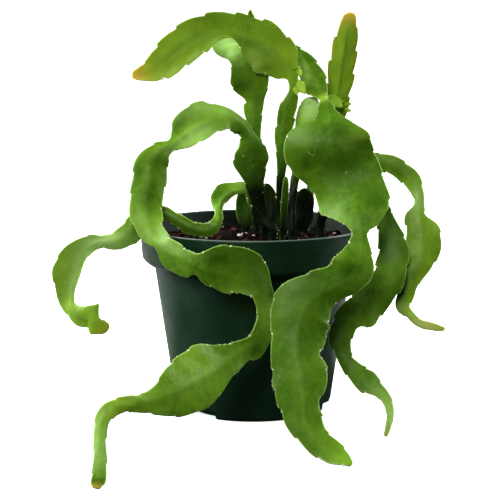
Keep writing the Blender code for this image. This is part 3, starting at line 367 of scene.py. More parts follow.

# Soft-edged patches on the stems, by kind: pale is partly painted highlight and partly pale margins and
# scars, the dark kinds are painted shade, the darkest on the stalks in the pot, yellow is partly painted
# light, and tan is the skin's own brown. Each patch gives the row of the route, the place across the
# blade from -1 at its left margin to 1 at its right, the reach in rows and across, and the strength.
PATCH_KINDS = ("pale", "painted_shade", "painted_pot_shade", "yellow", "tan")
PATCHES = {
    "stem_left_long": {
        "pale": (
            (7.2, 0.6, 1, 0.6, 0.45), (8.4, 0.8, 1.4, 0.45, 0.5), (9.3, -0.5, 1.2, 0.6, 0.55),
            (5.2, 0.95, 1.2, 0.14, 0.7), (16.3, 0.4, 0.9, 0.6, 0.3), (18.6, -0.6, 1, 0.5, 0.7),
            (25.6, -0.6, 1.4, 0.3, 0.35), (31.4, 0.1, 1.3, 0.22, 0.3), (37.6, 0.4, 1.6, 0.5, 0.5),
            (38.6, 0, 1.4, 2, 0.45),
        ),
        "painted_shade": (
            (3, 0.4, 1.2, 0.8, 0.5), (9.8, 0.6, 1, 0.45, 0.8), (12.8, 0.1, 0.9, 0.7, 0.7),
            (13.4, 0.7, 1.6, 0.6, 0.9), (14.6, -0.1, 1.9, 0.8, 0.75), (15.6, 0.7, 1, 0.5, 0.45),
            (19.6, 0.4, 0.9, 0.5, 0.5), (19.9, 0.5, 1, 0.5, 0.5), (22.6, -0.5, 1.3, 0.5, 0.8),
            (28.4, -0.6, 0.9, 0.6, 1), (21.8, 0.6, 1.6, 0.5, 0.6), (38.2, -0.95, 2.4, 0.3, 0.5),
            (40.4, 0, 1.5, 2, 1.3),
        ),
        "painted_pot_shade": ((-1, 0, 2.8, 6, 1.8),),
        "yellow": ((12.2, 0.3, 1, 0.8, 0.3), (35.6, 0, 1.3, 2, 0.45)),
        "tan": ((41.2, 0, 0.7, 2, 0.7),),
    },
    "stem_left_outer": {
        "pale": (
            (2.4, 0.6, 0.7, 0.5, 0.4), (6, 0, 2.6, 0.12, 0.7), (12, 0.1, 2.6, 0.3, 0.7),
            (18, 0, 1.8, 1.2, 1.2), (21.2, 0.04, 2, 0.14, 0.8),
        ),
        "painted_shade": (
            (4.8, 0.5, 1.5, 0.9, 1), (5, -0.9, 2.6, 0.75, 1), (9, -0.6, 2.5, 0.6, 0.6),
            (23.8, 0, 1.1, 1, 0.7), (24.5, 0.4, 1, 0.5, 0.4),
        ),
        "painted_pot_shade": ((-1.5, 0, 2, 6, 1.5),),
        "yellow": ((20.4, 0.7, 2, 0.5, 0.5),),
    },
    "stem_crown_arch": {
        "pale": ((10.9, -0.7, 0.8, 0.4, 0.5), (10.4, -0.1, 1.4, 0.06, 0.6)),
        "painted_shade": ((4.2, -0.6, 1.3, 0.7, 0.8), (9.4, -0.7, 0.9, 0.35, 0.5), (16.3, 0.2, 1.9, 0.2, 0.45)),
        "painted_pot_shade": ((-1, 0, 2.4, 6, 1.8),),
        "yellow": (
            (8.8, 0.7, 1.2, 0.6, 0.8), (8, -0.6, 0.9, 0.5, 0.6), (10.9, -0.7, 1, 0.5, 1),
            (9.4, 0.3, 1.1, 0.6, 0.8), (16, -0.6, 2.6, 0.45, 0.25),
        ),
    },
    "stem_centre_short": {
        "pale": ((6.2, 0.2, 1.8, 0.9, 1.3),),
        "painted_shade": ((4.4, -0.9, 1, 0.35, 0.7),),
        "painted_pot_shade": ((-1, 0, 2.4, 6, 1.8),),
        "yellow": ((4.6, 0.3, 1.5, 0.8, 0.5),),
    },
    "stem_right_upright": {
        "painted_shade": ((5.5, 0.05, 3.4, 0.16, 0.5), (3.6, 0.6, 1, 0.7, 0.3)),
        "painted_pot_shade": ((-1, 0, 1.6, 6, 1.8),),
    },
    "stem_broad_front": {
        "pale": (
            (10.8, 0, 1.5, 1.2, 1.1), (17.6, 0.95, 1.1, 0.12, 0.6), (21, -0.97, 1.2, 0.14, 0.8),
            (22.9, 0.8, 0.8, 0.4, 0.8), (27.2, -0.15, 0.12, 0.05, 0.9), (29.2, 0.5, 0.9, 0.4, 0.2),
            (30.7, 0.7, 0.9, 0.35, 0.4), (38.5, 0.6, 1, 0.4, 0.3), (37, -0.98, 3.2, 0.07, 0.7),
            (41.6, 0, 2, 0.2, 0.25),
        ),
        "painted_shade": (
            (7.5, -0.4, 0.9, 0.7, 0.75), (22.8, -0.2, 1.5, 0.9, 0.9), (25.2, 0.6, 1.4, 0.5, 0.8),
            (26.4, 0, 2, 0.9, 0.7), (30, -0.6, 1.6, 0.5, 0.85), (35.6, 0.2, 1.7, 0.75, 1),
            (40, 0.6, 1.6, 0.5, 0.3),
        ),
        "painted_pot_shade": ((-1, 0, 2.4, 6, 1.8),),
        "yellow": ((16.6, 0.3, 2, 0.7, 0.6), (19.2, 0, 0.7, 2, 0.8), (49, 0, 1.4, 1.5, 0.15)),
        "tan": ((24, -0.7, 1.2, 0.35, 0.1),),
    },
    "stem_right_outer": {
        "pale": ((7.7, 0, 1.1, 1, 0.9), (18, 0, 1.8, 3, 0.7)),
        "painted_shade": ((5.2, 0, 1, 1, 0.6), (13.8, 0.6, 1.1, 0.7, 1), (13, 0.2, 1.4, 0.7, 0.6)),
        "painted_pot_shade": ((-1, 0, 1.8, 6, 1.8),),
    },
    "stem_right_inner": {
        "pale": ((6, 0.1, 1.2, 0.6, 0.6), (6.3, 0.97, 1.4, 0.09, 0.7), (18, 0, 1.6, 1.5, 0.7)),
        "painted_shade": (
            (6.6, -0.6, 1.3, 0.35, 0.4), (8.2, -0.9, 1.2, 0.6, 0.9), (9.5, 0, 1.8, 1, 0.55),
            (14.3, 0, 1.2, 1, 0.5),
        ),
        "painted_pot_shade": ((-1, 0, 1.8, 6, 1.8),),
    },
    "stem_back_left": {
        "painted_shade": ((1.5, 0, 2.5, 3, 0.9),),
        "painted_pot_shade": ((-1.5, 0, 3.2, 4, 1.1),),
    },
    "stem_back_middle": {
        "painted_pot_shade": ((1, 0, 3.5, 4, 1),),
    },
    "stem_back_right": {
        "painted_pot_shade": ((1, 0, 3.5, 4, 1.2),),
    },
    "stem_young_shoot": {
        "painted_pot_shade": ((-1, 0, 2.4, 6, 1),),
    },
}

# Small new shoots: the stem, the row of its route, the place across the blade, the way that the shoot
# points (x, y, z), its length and width in millimetres, and how yellow it is.
SHOOTS = (
    ("stem_crown_arch", 12.15, 0.97, (0.1, -0.3, 1.0), 5.6, 3.6, 0.3),
    ("stem_crown_arch", 12.0, 0.97, (-0.5, -0.2, 0.8), 4.2, 2.6, 0.4),
    ("stem_crown_arch", 8.1, 0.5, (-0.2, -1.0, 0.9), 4.4, 3.2, 0.7),
    ("stem_crown_arch", 7.9, 0.7, (0.9, -0.8, 0.4), 4.0, 2.6, 0.7),
    ("stem_crown_arch", 6.9, 0.8, (0.55, -0.35, -0.75), 12.0, 7.5, 0.75),
    ("stem_crown_arch", 6.5, 0.6, (0.1, -0.5, -0.9), 9.0, 5.5, 0.7),
    ("stem_crown_arch", 8.0, 0.95, (0.4, -0.5, -0.8), 6.5, 4.0, 0.9),
    ("stem_right_upright", 3.95, -0.8, (0.75, -0.5, -0.6), 15.0, 9.0, 0.3),
    ("stem_right_upright", 3.4, 0.55, (0.9, -0.3, 0.1), 6.5, 3.6, 0.35),
    ("stem_right_upright", 3.1, 0.55, (1.0, -0.4, -0.15), 7.0, 3.4, 0.5),
    ("stem_right_upright", 3.5, 0.35, (0.4, -0.6, 0.6), 3.6, 2.6, 0.8),
)

# Thin pale scars on the skin: the stem, and points as a row of its route and a place across the blade.
SCARS = (
    ("stem_broad_front", ((24.4, 0.5), (24.62, 0.47), (24.75, 0.43), (24.72, 0.38), (24.5, 0.35))),
    ("stem_broad_front", ((27.0, -0.15), (27.2, -0.17))),
    ("stem_left_long", ((3.2, -0.34), (3.22, -0.46))),
    ("stem_left_long", ((2.5, 0.1), (2.6, 0.15))),
)

# A distance from the midrib or the margin, in millimetres, at which the paint shows neither.
FAR = 3.0


# Materials.

class Paint:
    """A Principled material, and short ways to add the nodes that vary it."""

    def __init__(self, name, **sockets):
        self.material = bpy.data.materials.new(name)
        self.material.use_nodes = True
        self.tree = self.material.node_tree
        self.shader = self.tree.nodes["Principled BSDF"]
        self.shade(**sockets)

    def put(self, socket, value):
        """Links another node's output to a socket, or sets the socket to a number, size or colour."""
        if isinstance(value, bpy.types.NodeSocket):
            self.tree.links.new(value, socket)
        else:
            socket.default_value = (*value, 1.0) if socket.type == "RGBA" else value

    def fill(self, node, sockets):
        """Fills a node's sockets, whose names have underscores or spaces."""
        for label, value in sockets.items():
            self.put(node.inputs[label.replace("_", " ")], value)
        return node

    def shade(self, **sockets):
        """Fills sockets of the material itself."""
        self.fill(self.shader, sockets)

    def node(self, kind, **sockets):
        """A new node with some of its sockets filled."""
        return self.fill(self.tree.nodes.new("ShaderNode" + kind), sockets)

    def attribute(self, name):
        node = self.node("Attribute")
        node.attribute_name = name
        return node.outputs["Fac"]

    def place(self, stretch=(1.0, 1.0, 1.0)):
        """The object's own coordinates, in metres, stretched along each axis."""
        where = self.node("TexCoord").outputs["Object"]
        return self.node("Mapping", Vector=where, Scale=stretch).outputs["Vector"]

    def noise(self, scale, detail=2.0, roughness=0.5, stretch=(1.0, 1.0, 1.0)):
        where = self.place(stretch)
        node = self.node("TexNoise", Vector=where, Scale=scale, Detail=detail, Roughness=roughness)
        return node.outputs["Fac"]

    def cells(self, scale):
        return self.node("TexVoronoi", Vector=self.place(), Scale=scale).outputs["Distance"]

    def map(self, value, low, high, to_low=0.0, to_high=1.0):
        """The value from low to high, eased and held at both ends."""
        node = self.node("MapRange", Value=value, From_Min=low, From_Max=high)
        self.fill(node, {"To Min": to_low, "To Max": to_high})
        node.interpolation_type = "SMOOTHSTEP"
        return node.outputs["Result"]

    def maths(self, operation, first, second):
        node = self.node("Math")
        node.operation = operation
        for socket, value in zip(node.inputs, (first, second)):
            self.put(socket, value)
        return node.outputs["Value"]

    def mix(self, share, first, second):
        """A colour a share of the way from the first to the second."""
        node = self.node("Mix")
        node.data_type = "RGBA"
        self.put(node.inputs["Factor"], share)
        for socket, value in zip([s for s in node.inputs if s.type == "RGBA"], (first, second)):
            self.put(socket, value)
        return [s for s in node.outputs if s.type == "RGBA"][0]

    def coats(self, colour, layers):
        """Layers over a colour, in order: where each shows, how strong it is, and its own colour."""
        for mask, strength, layer in layers:
            colour = self.mix(self.maths("MULTIPLY", mask, strength), colour, layer)
        return colour

    def bump(self, height, distance, strength):
        relief = self.node("Bump", Height=height, Distance=distance, Strength=strength)
        self.shade(Normal=relief.outputs["Normal"])


def stem_paint():
    """Waxy green skin: mottled, with paler margins, yellowish or orange tips, painted shade and painted
    highlight.
    """
    paint = Paint("stem_skin", Subsurface_Weight=0.25, Subsurface_Scale=0.002)
    paint.shade(Subsurface_Radius=(0.7, 1.0, 0.15))
    broad = paint.map(paint.noise(38.0, 3.0), 0.35, 0.68)
    fine = paint.map(paint.noise(260.0, 4.0, 0.6), 0.38, 0.7)
    blotch = paint.map(paint.noise(95.0, 5.0, 0.65, (1.3, 1.0, 0.7)), 0.5, 0.72)
    bloom = paint.map(paint.noise(70.0, 4.0, 0.55, (0.8, 1.2, 1.1)), 0.55, 0.75)
    cloud = paint.map(paint.noise(150.0, 4.0, 0.6), 0.25, 0.7, 0.7, 1.0)
    rib = paint.map(paint.attribute("rib"), 0.3, 2.4, 1.0, 0.0)
    margin = paint.map(paint.attribute("edge"), 0.2, 1.0, 1.0, 0.0)
    near_margin = paint.map(paint.attribute("edge"), 0.2, 2.6, 1.0, 0.0)
    cork = paint.map(paint.noise(120.0, 5.0, 0.65), 0.70, 0.76)
    flecks = paint.map(paint.cells(420.0), 0.05, 0.13, 1.0, 0.0)
    skin = paint.coats(paint.mix(broad, (0.080, 0.190, 0.008), (0.155, 0.305, 0.018)), (
        (fine, 0.45, (0.190, 0.370, 0.035)),
        (blotch, 0.42, (0.040, 0.110, 0.006)),
        (bloom, 0.22, (0.290, 0.450, 0.150)),
        # Yellow: partly the skin's own yellow, partly painted light on tops that face the lamps.
        (paint.attribute("yellow"), 1.0, (0.38, 0.56, 0.040)),
        # Pale patches: partly painted highlight, a bluish sheen where a blade faces the light, and partly
        # pale margins and scars.
        (paint.attribute("pale"), cloud, (0.330, 0.520, 0.165)),
        # Painted shade: dark green where a blade faces away from the light or lies under other stems.
        (paint.attribute("painted_shade"), cloud, (0.030, 0.080, 0.004)),
        (rib, 0.08, (0.21, 0.38, 0.055)),
        (margin, 0.36, (0.38, 0.54, 0.17)),
        (near_margin, paint.attribute("rust"), (0.26, 0.13, 0.022)),
        (paint.attribute("tan"), 1.0, (0.30, 0.17, 0.05)),
        (paint.attribute("tip"), 1.0, (0.72, 0.50, 0.07)),
        # Painted shade: near black on the stalks down in the pot, where little light reaches.
        (paint.attribute("painted_pot_shade"), 1.0, (0.004, 0.011, 0.002)),
        (cork, 0.5, (0.20, 0.135, 0.055)),
        (flecks, 0.3, (0.42, 0.52, 0.28)),
    ))
    # Less gloss where the painted shade lies.
    gloss = paint.maths("SUBTRACT", 0.2, paint.maths("MULTIPLY", paint.attribute("painted_shade"), 0.17))
    satin = paint.map(paint.noise(90.0, 3.0), 0.3, 0.7, 0.36, 0.5)
    paint.shade(Base_Color=skin, Roughness=satin, Specular_IOR_Level=gloss)
    relief = paint.maths("ADD", paint.noise(150.0, 3.0), paint.maths("MULTIPLY", paint.noise(900.0), 0.25))
    paint.bump(relief, 0.0009, 0.5)
    return paint.material


def speckled(name, roughness, noise, low, high, dark, pale):
    """A material of two colours in small clouds. Its noise has a scale and may have a detail."""
    paint = Paint(name, Roughness=roughness)
    paint.shade(Base_Color=paint.mix(paint.map(paint.noise(*noise), low, high), dark, pale))
    return paint


def wool_paint():
    paint = speckled("areole_wool", 0.9, (700.0,), 0.35, 0.65, (0.46, 0.43, 0.26), (0.80, 0.79, 0.64))
    return paint.material


def bristle_paint():
    paint = speckled("areole_bristle", 0.5, (300.0,), 0.3, 0.7, (0.30, 0.20, 0.09), (0.62, 0.55, 0.36))
    return paint.material


def perlite_paint():
    paint = speckled("mix_perlite", 0.85, (900.0, 3.0), 0.35, 0.7, (0.55, 0.52, 0.47), (0.86, 0.85, 0.82))
    paint.bump(paint.noise(1200.0, 4.0, 0.7), 0.0006, 0.8)
    return paint.material


def pot_paint():
    """Dark green moulded plastic: faint flow texture, dust, small scuffs, painted inner shade, painted lip
    highlight.
    """
    paint = Paint("pot_plastic")
    cloud = paint.map(paint.noise(30.0, 4.0, 0.6), 0.3, 0.75)
    dust = paint.map(paint.noise(160.0, 6.0, 0.7, (1.0, 1.0, 0.35)), 0.52, 0.8)
    scuff = paint.map(paint.noise(420.0, 3.0, 0.6, (1.0, 1.0, 0.08)), 0.70, 0.80)
    inside = paint.attribute("inside")
    green = paint.coats(paint.mix(cloud, (0.005, 0.028, 0.011), (0.008, 0.038, 0.016)), (
        (dust, 0.22, (0.035, 0.062, 0.042)),
        (scuff, 0.25, (0.06, 0.09, 0.07)),
        # Painted shade: darker on faces turned towards the pot's axis, as on its inner wall.
        (inside, 1.0, (0.0015, 0.012, 0.004)),
        # Painted highlight: a pale grey line along the top of the lip bead.
        (paint.attribute("lip"), 0.8, (0.13, 0.16, 0.14)),
    ))
    satin = paint.map(paint.noise(75.0, 4.0, 0.6), 0.25, 0.75, 0.36, 0.50)
    matt = paint.maths("MULTIPLY", inside, 0.35)
    paint.shade(Base_Color=green, Roughness=paint.maths("ADD", satin, matt))
    paint.bump(paint.noise(1500.0), 0.00012, 0.35)
    return paint.material


def mix_paint():
    """Dark potting soil, its colour darkened further as painted shade inside the pot."""
    paint = Paint("mix_soil", Roughness=0.92, Specular_IOR_Level=0.08)
    crumbs = paint.map(paint.noise(420.0, 6.0, 0.7), 0.3, 0.7)
    # Near-black soil colours: dark soil, darkened further as painted shade in the pot.
    soil = paint.mix(crumbs, (0.002, 0.0015, 0.001), (0.012, 0.007, 0.005))
    grains = paint.map(paint.cells(300.0), 0.1, 0.3, 0.5, 0.0)
    paint.shade(Base_Color=paint.mix(grains, soil, (0.04, 0.02, 0.012)))
    paint.bump(paint.noise(600.0, 6.0, 0.75), 0.0022, 0.9)
    return paint.material


def bark_paint():
    """Reddish-brown bark, darker and paler from chip to chip; the dark end is near black, as painted shade
    in the pot.
    """
    paint = Paint("mix_bark", Roughness=0.78, Specular_IOR_Level=0.12)
    grain = paint.map(paint.noise(500.0, 5.0, 0.7, (1.0, 0.3, 1.0)), 0.3, 0.7)
    bark = paint.mix(paint.attribute("tone"), (0.004, 0.002, 0.0015), (0.090, 0.032, 0.017))
    paint.shade(Base_Color=paint.coats(bark, ((grain, 0.6, (0.008, 0.004, 0.003)),)))
    paint.bump(paint.noise(700.0, 5.0, 0.7), 0.0012, 0.8)
    return paint.material


def fibre_paint():
    paint = Paint("mix_fibre", Roughness=0.85)
    paint.shade(Base_Color=paint.mix(paint.attribute("tone"), (0.03, 0.015, 0.008), (0.14, 0.08, 0.04)))
    return paint.material


# Meshes.

def new_object(name, points, faces, unit=MM):
    """An object in the scene, from points in millimetres or in another unit."""
    mesh = bpy.data.meshes.new(name)
    mesh.from_pydata([(x * unit, y * unit, z * unit) for x, y, z in points], [], faces)
    mesh.update()
    made = bpy.data.objects.new(name, mesh)
    bpy.context.scene.collection.objects.link(made)
    return made


def at_angle(radius, angle):
    """The x and y of a point around the pot's axis, counted from the front."""
    return radius * math.sin(angle), -radius * math.cos(angle)


def circle(radius, height, count):
    """Points around the pot's axis."""
    return [(*at_angle(radius, 2.0 * math.pi * i / count), height) for i in range(count)]


def bridge(low, high, around):
    """The quads between two rings of points, from the number of each ring's first point."""
    turns = [(i, (i + 1) % around) for i in range(around)]
    return [(low + i, low + j, high + j, high + i) for i, j in turns]


def fan(ring, middle, around):
    """The triangles between a ring of points and a point beyond it."""
    return [(ring + i, ring + (i + 1) % around, middle) for i in range(around)]


def tube(rings, around):
    """The faces of a tube from rings of points that follow each other, and of its two ends."""
    last = (rings - 1) * around
    faces = [face for ring in range(0, last, around) for face in bridge(ring, ring + around, around)]
    return faces + [tuple(range(around - 1, -1, -1)), tuple(range(last, last + around))]


class Shape:
    """Points in millimetres, faces, and one number for each point under each name."""

    def __init__(self):
        self.points, self.faces, self.values = [], [], {}

    def add(self, points, faces, **values):
        start = len(self.points)
        self.points += [tuple(p) for p in points]
        self.faces += [tuple(start + i for i in face) for face in faces]
        for name, value in values.items():
            self.values.setdefault(name, []).extend([value] * len(points))

    def make(self, name, finish, slot):
        piece = new_object(name, self.points, self.faces)
        for label, numbers in self.values.items():
            layer = piece.data.attributes.new(label, "FLOAT", "POINT")
            layer.data.foreach_set("value", np.array(numbers, np.float32))
        piece.data.materials.append(finish)
        piece.data.shade_smooth()
        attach(piece, "root")
        return piece


def ball(shape, centre, axes, radii, rings=4, around=7):
    """A small ellipsoid."""
    points = []
    for ring in range(1, rings):
        polar = math.pi * ring / rings
        for i in range(around):
            turn = 2.0 * math.pi * i / around
            local = (math.cos(polar), math.sin(polar) * math.cos(turn), math.sin(polar) * math.sin(turn))
            offsets = (axis * (c * s) for axis, c, s in zip(axes, local, radii))
            points.append(centre + sum(offsets, Vector()))
    points += [centre + axes[0] * radii[0], centre - axes[0] * radii[0]]
    last = (rings - 2) * around
    top = last + around
    faces = [face for ring in range(0, last, around) for face in bridge(ring + around, ring, around)]
    faces += fan(0, top, around) + [face[::-1] for face in fan(last, top + 1, around)]
    shape.add(points, faces)


def spike(shape, foot, head, radius, sides=4, **values):
    """A thin pointed bristle, fibre or scar."""
    ahead = (head - foot).normalized()
    across = ahead.orthogonal().normalized()
    other = ahead.cross(across)
    turns = [2.0 * math.pi * i / sides for i in range(sides)]
    points = [foot + (across * math.cos(turn) + other * math.sin(turn)) * radius for turn in turns]
    shape.add(points + [head], fan(0, sides, sides) + [tuple(range(sides - 1, -1, -1))], **values)


# Stems.

def eased(share):
    """A share that starts and ends gently, held between 0 and 1."""
    share = np.clip(share, 0.0, 1.0)
    return share * share * (3.0 - 2.0 * share)


def between(rows, i, share):
    """A smooth curve through the rows: the value a share of the way from row i to row i + 1."""
    before, start, end, after = rows[[max(i - 1, 0), i, i + 1, min(i + 2, len(rows) - 1)]]
    slope, bow = end - before, 2 * before - 5 * start + 4 * end - after
    twist = 3 * start - before - 3 * end + after
    return 0.5 * (2 * start + slope * share + bow * (share * share) + twist * (share * share * share))


def stem_rows(name):
    """The stem's route with its stalk, which is upright where it stands in the mix."""
    half = min(STALK_HALF, STEMS[name][0][3])
    heights = [height for height in (STALK_FOOT, STALK_BEND, STALK_HEAD) if height < STEMS[name][0][2]]
    rows = [(*STALKS[name][:2], height, half, half) for height in heights] + list(STEMS[name])
    return [(*row, 0, 0)[:7] for row in rows]


def across_at(rows, i):
    """The way from the midrib to the left margin at a row of the route."""
    ahead = Vector(rows[min(i + 1, len(rows) - 1)][:3]) - Vector(rows[max(i - 1, 0)][:3])
    ahead.normalize()
    flat = TOWARDS_FRONT.cross(ahead).normalized()
    return Matrix.Rotation(math.radians(rows[i][5]), 3, ahead) @ flat


def unit(vectors):
    return vectors / np.linalg.norm(vectors, axis=1, keepdims=True)


class Path:
    """A stem's cross-sections: how far along each is, its centre, directions and widths."""

    def __init__(self, name):
        self.name = name
        self.seed = sum(map(ord, name)) % 17
        rows = stem_rows(name)
        full = np.array([(*row[:5], row[6], *across_at(rows, i)) for i, row in enumerate(rows)])
        fine = [between(full, i, k / CURVE_STEPS) for i in range(len(full) - 1) for k in range(CURVE_STEPS)]
        fine = np.array(fine + [full[-1]])
        steps = np.linalg.norm(np.diff(fine[:, :3], axis=0), axis=1)
        lengths = np.concatenate([[0.0], np.cumsum(steps)])
        self.length = lengths[-1]
        even = np.linspace(0.0, self.length, max(LEAST_SECTIONS, round(self.length / STEP)))
        even = even[even < self.length - TIP_STEPS[0]]
        self.along = np.concatenate([even, self.length - TIP_STEPS[1:]])
        fine_rows = np.arange(len(fine)) / CURVE_STEPS - (len(rows) - len(STEMS[name]))
        self.row = np.interp(self.along, lengths, fine_rows)
        table = np.stack([np.interp(self.along, lengths, column) for column in fine.T], axis=1)
        self.centre, self.left, self.right, self.bend = table[:, :3], table[:, 3], table[:, 4], table[:, 5]
        self.ahead = unit(np.gradient(self.centre, self.along, axis=0))
        side = table[:, 6:9]
        self.side = unit(side - self.ahead * np.sum(side * self.ahead, axis=1, keepdims=True))
        self.face = np.cross(self.ahead, self.side)
        self.stalk = 1.0 - eased((self.along - STALK_LENGTH) / STALK_BLEND)
        self.tip = eased((self.length - self.along) / TIP_BLEND)
        to_tip = np.clip((self.length - self.along) / TIP_ROUND, 0.0, 1.0)
        self.end = np.sqrt(np.clip(1.0 - (1.0 - to_tip) ** 2, 0.0, 1.0))

    def axes(self, i):
        """The ways to the left, ahead and out of the front at a section."""
        return Vector(self.side[i]), Vector(self.ahead[i]), Vector(self.face[i])

    def half(self, sign):
        """The widths of one wing as the route gives them: -1 is the left one, and 1 the right one."""
        return self.left if sign < 0 else self.right

    def areoles_passed(self, along, sign):
        """How many areoles there are up to a length: they alternate between the two margins."""
        return along / AREOLE_GAP + (0.5 if sign > 0 else 0.0)

    def reach(self, sign):
        """The width of one wing at each section: notched just past each areole."""
        free = 1.0 - self.stalk
        half = self.half(sign) + MARGIN_ROUND * free
        phase = self.areoles_passed(self.along, sign) % 1.0
        drop = np.minimum(STALKS[self.name][2], NOTCH_SHARE * half) * (1.0 - phase) ** 2
        return (half - drop * free) * np.maximum(self.end, TIP_SHARE)

    def surface(self, sign):
        """The front and back points of one wing, and the distances that the paint reads."""
        reach = self.reach(sign)
        rim = np.minimum(RIM, RIM_SHARE * reach)
        outer = reach[:, None] - np.outer(rim, RIM_LANES)
        out = np.concatenate([np.outer(reach - rim, LANES), outer], axis=1)
        half = np.maximum(self.half(sign), LEAST_HALF)[:, None]
        t = out / half
        rib = RIB_HALF * (TIP_RIB + (1.0 - TIP_RIB) * self.tip)[:, None]
        wing = WING_HALF - (WING_HALF - MARGIN_HALF) * np.clip(t, 0.0, 1.0)
        flat = wing + (rib - wing) * np.exp(-(out / RIB_WIDTH) ** 2)
        bulge = np.sqrt(np.clip(1.0 - STALK_SQUEEZE * t * t, 0.0, 1.0))
        round_stalk = STALK_DEPTH * np.minimum(half, STALK_HALF) * bulge
        thick = flat + np.maximum(round_stalk - flat, 0.0) * self.stalk[:, None]
        edge = np.maximum(reach[:, None] - out, 0.0)
        rounding = np.clip(edge / np.minimum(RIM, 0.3 * reach + 0.05)[:, None], 0.0, 1.0)
        thick = thick * np.sqrt(1.0 - (1.0 - rounding) ** 2) * self.end[:, None]
        along = self.along[:, None]
        free = (1.0 - self.stalk)[:, None] * self.tip[:, None]
        wave = 0.6 * np.sin(along / LONG_WAVE + self.seed)
        wave = wave + 0.4 * np.sin(along / SHORT_WAVE + 2.3 * self.seed + sign)
        wave = wave * np.minimum(WAVE_HEIGHT, WAVE_SHARE * half) * np.abs(t) ** 1.6 * free
        veins = np.cos(2.0 * math.pi * self.areoles_passed(along - VEIN_SLANT * out, sign))
        quilt = QUILT_HEIGHT * veins * np.sin(math.pi * np.clip(t, 0.0, 1.0)) * free
        lift = self.bend[:, None] * t * t + wave
        middle = self.centre[:, None, :] - (sign * out)[..., None] * self.side[:, None, :]
        middle = middle + lift[..., None] * self.face[:, None, :]
        over = (thick + quilt * (thick > QUILT_LEAST))[..., None] * self.face[:, None, :]
        return middle + over, middle - over, out, edge, sign * t

    def section(self, row):
        """The number of the section at a row of the route."""
        return int(np.clip(np.searchsorted(self.row, row), 1, len(self.row) - 2))

    def on_skin(self, row, across):
        """The point of the front skin at a row of the route and a place across the blade."""
        front, _, out = self.surface(-1 if across < 0 else 1)[:3]
        i = self.section(row)
        far = abs(across) * self.half(across)[i]
        return Vector([np.interp(far, out[i], front[i, :, axis]) for axis in range(3)])

    def inside(self, row, across):
        """The point halfway through the blade at a row of the route and a place across the blade."""
        i = self.section(row)
        lift = self.bend[i] * across * across
        return Vector(self.centre[i] - across * self.half(across)[i] * self.side[i] + lift * self.face[i])


def around_blade(left_front, right_front, right_back, left_back):
    """The lanes of both wings in order: over the front to the right margin, and back behind."""
    return np.concatenate(
        [left_front[:, :0:-1], right_front, right_back[:, -2:0:-1], left_back[:, :-1]], axis=1)


def patches(path, across):
    """How strong each kind of patch is at each point around each section."""
    strength = {kind: np.zeros(across.shape) for kind in PATCH_KINDS}
    for kind, spots in PATCHES.get(path.name, {}).items():
        for row, place, reach_along, reach_across, amount in spots:
            far = ((path.row[:, None] - row) / reach_along) ** 2 + ((across - place) / reach_across) ** 2
            strength[kind] = np.maximum(strength[kind], amount * np.exp(-far))
    return strength


def stem(name, finish, wool, bristle):
    """One blade, finer than its solid, with woolly areoles and bristles in its notches."""
    path = Path(name)
    left_front, left_back, *left_values = path.surface(-1)
    right_front, right_back, *right_values = path.surface(1)
    ring = around_blade(left_front, right_front, right_back, left_back)
    rib, edge, across = [around_blade(a, b, b, a) for a, b in zip(left_values, right_values)]
    looks = LOOKS[name]
    values = patches(path, across)
    # Along the route: yellow, partly painted light, and painted shade.
    for kind in ("yellow", "painted_shade"):
        along = np.interp(path.row, *zip(*looks.get(kind, PLAIN)))
        values[kind] = np.maximum(values[kind], along[:, None])
    values["painted_pot_shade"] = np.minimum(values["painted_pot_shade"], 1.0)
    to_tip = path.length - path.along
    glow = looks["tip"] * np.exp(-(to_tip / looks.get("tip_length", TIP_LENGTH)) ** 2)
    even = np.ones(across.shape)
    values.update(rib=rib, edge=edge, tip=glow[:, None] * even, rust=looks.get("rust", 0.0) * even)
    shape = Shape()
    shape.points = ring.reshape(-1, 3).tolist()
    shape.faces = tube(*ring.shape[:2])
    shape.values = {label: numbers.ravel() for label, numbers in values.items()}
    piece = shape.make(name + "_skin", finish, "stem_green")
    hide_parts(name)
    areoles(path, name, wool, bristle)


def areoles(path, name, wool, bristle):
    """A pad of wool and a few bristles in each notch of both margins, and specks along them."""
    draw = random.Random(len(name) * 7 + 1)
    pads, hairs = Shape(), Shape()
    for sign in (-1, 1):
        front, back = path.surface(sign)[:2]
        rim = (front[:, -1] + back[:, -1]) / 2
        first = 0.0 if sign < 0 else 0.5
        for k in range(1, int(path.length / AREOLE_GAP) + 1):
            at = (k + first) * AREOLE_GAP + 0.5
            if at < STALK_LENGTH + STALK_BLEND or at > path.length - AREOLE_FROM_TIP:
                continue
            i = int(np.searchsorted(path.along, at))
            side, ahead, face = path.axes(i)
            outward = -sign * side
            foot = Vector(rim[i]) - outward * PAD_SINK
            size = draw.uniform(*PAD_SIZES)
            ball(pads, foot, (outward, ahead, face), (size * 0.8, size * 1.1, size * 0.75))
            for _ in range(draw.randint(2, 5)):
                aim = outward + ahead * draw.uniform(0.1, 1.0) + face * draw.uniform(-0.8, 0.8)
                spike(hairs, foot, foot + aim.normalized() * draw.uniform(*BRISTLE_LENGTHS), BRISTLE_RADIUS)
        for _ in range(int((path.length - SPECK_START) / SPECK_GAP)):
            i = int(np.searchsorted(path.along, draw.uniform(SPECK_START, path.length - SPECK_FROM_TIP)))
            axes = path.axes(i)
            size = draw.uniform(*SPECK_SIZES)
            ball(pads, Vector(rim[i]) + sign * axes[0] * 0.3 * size, axes, (size, size * 1.3, size))
    if pads.faces:
        pads.make(name + "_areoles", wool, "stem_green")
        hairs.make(name + "_bristles", bristle, "stem_green")


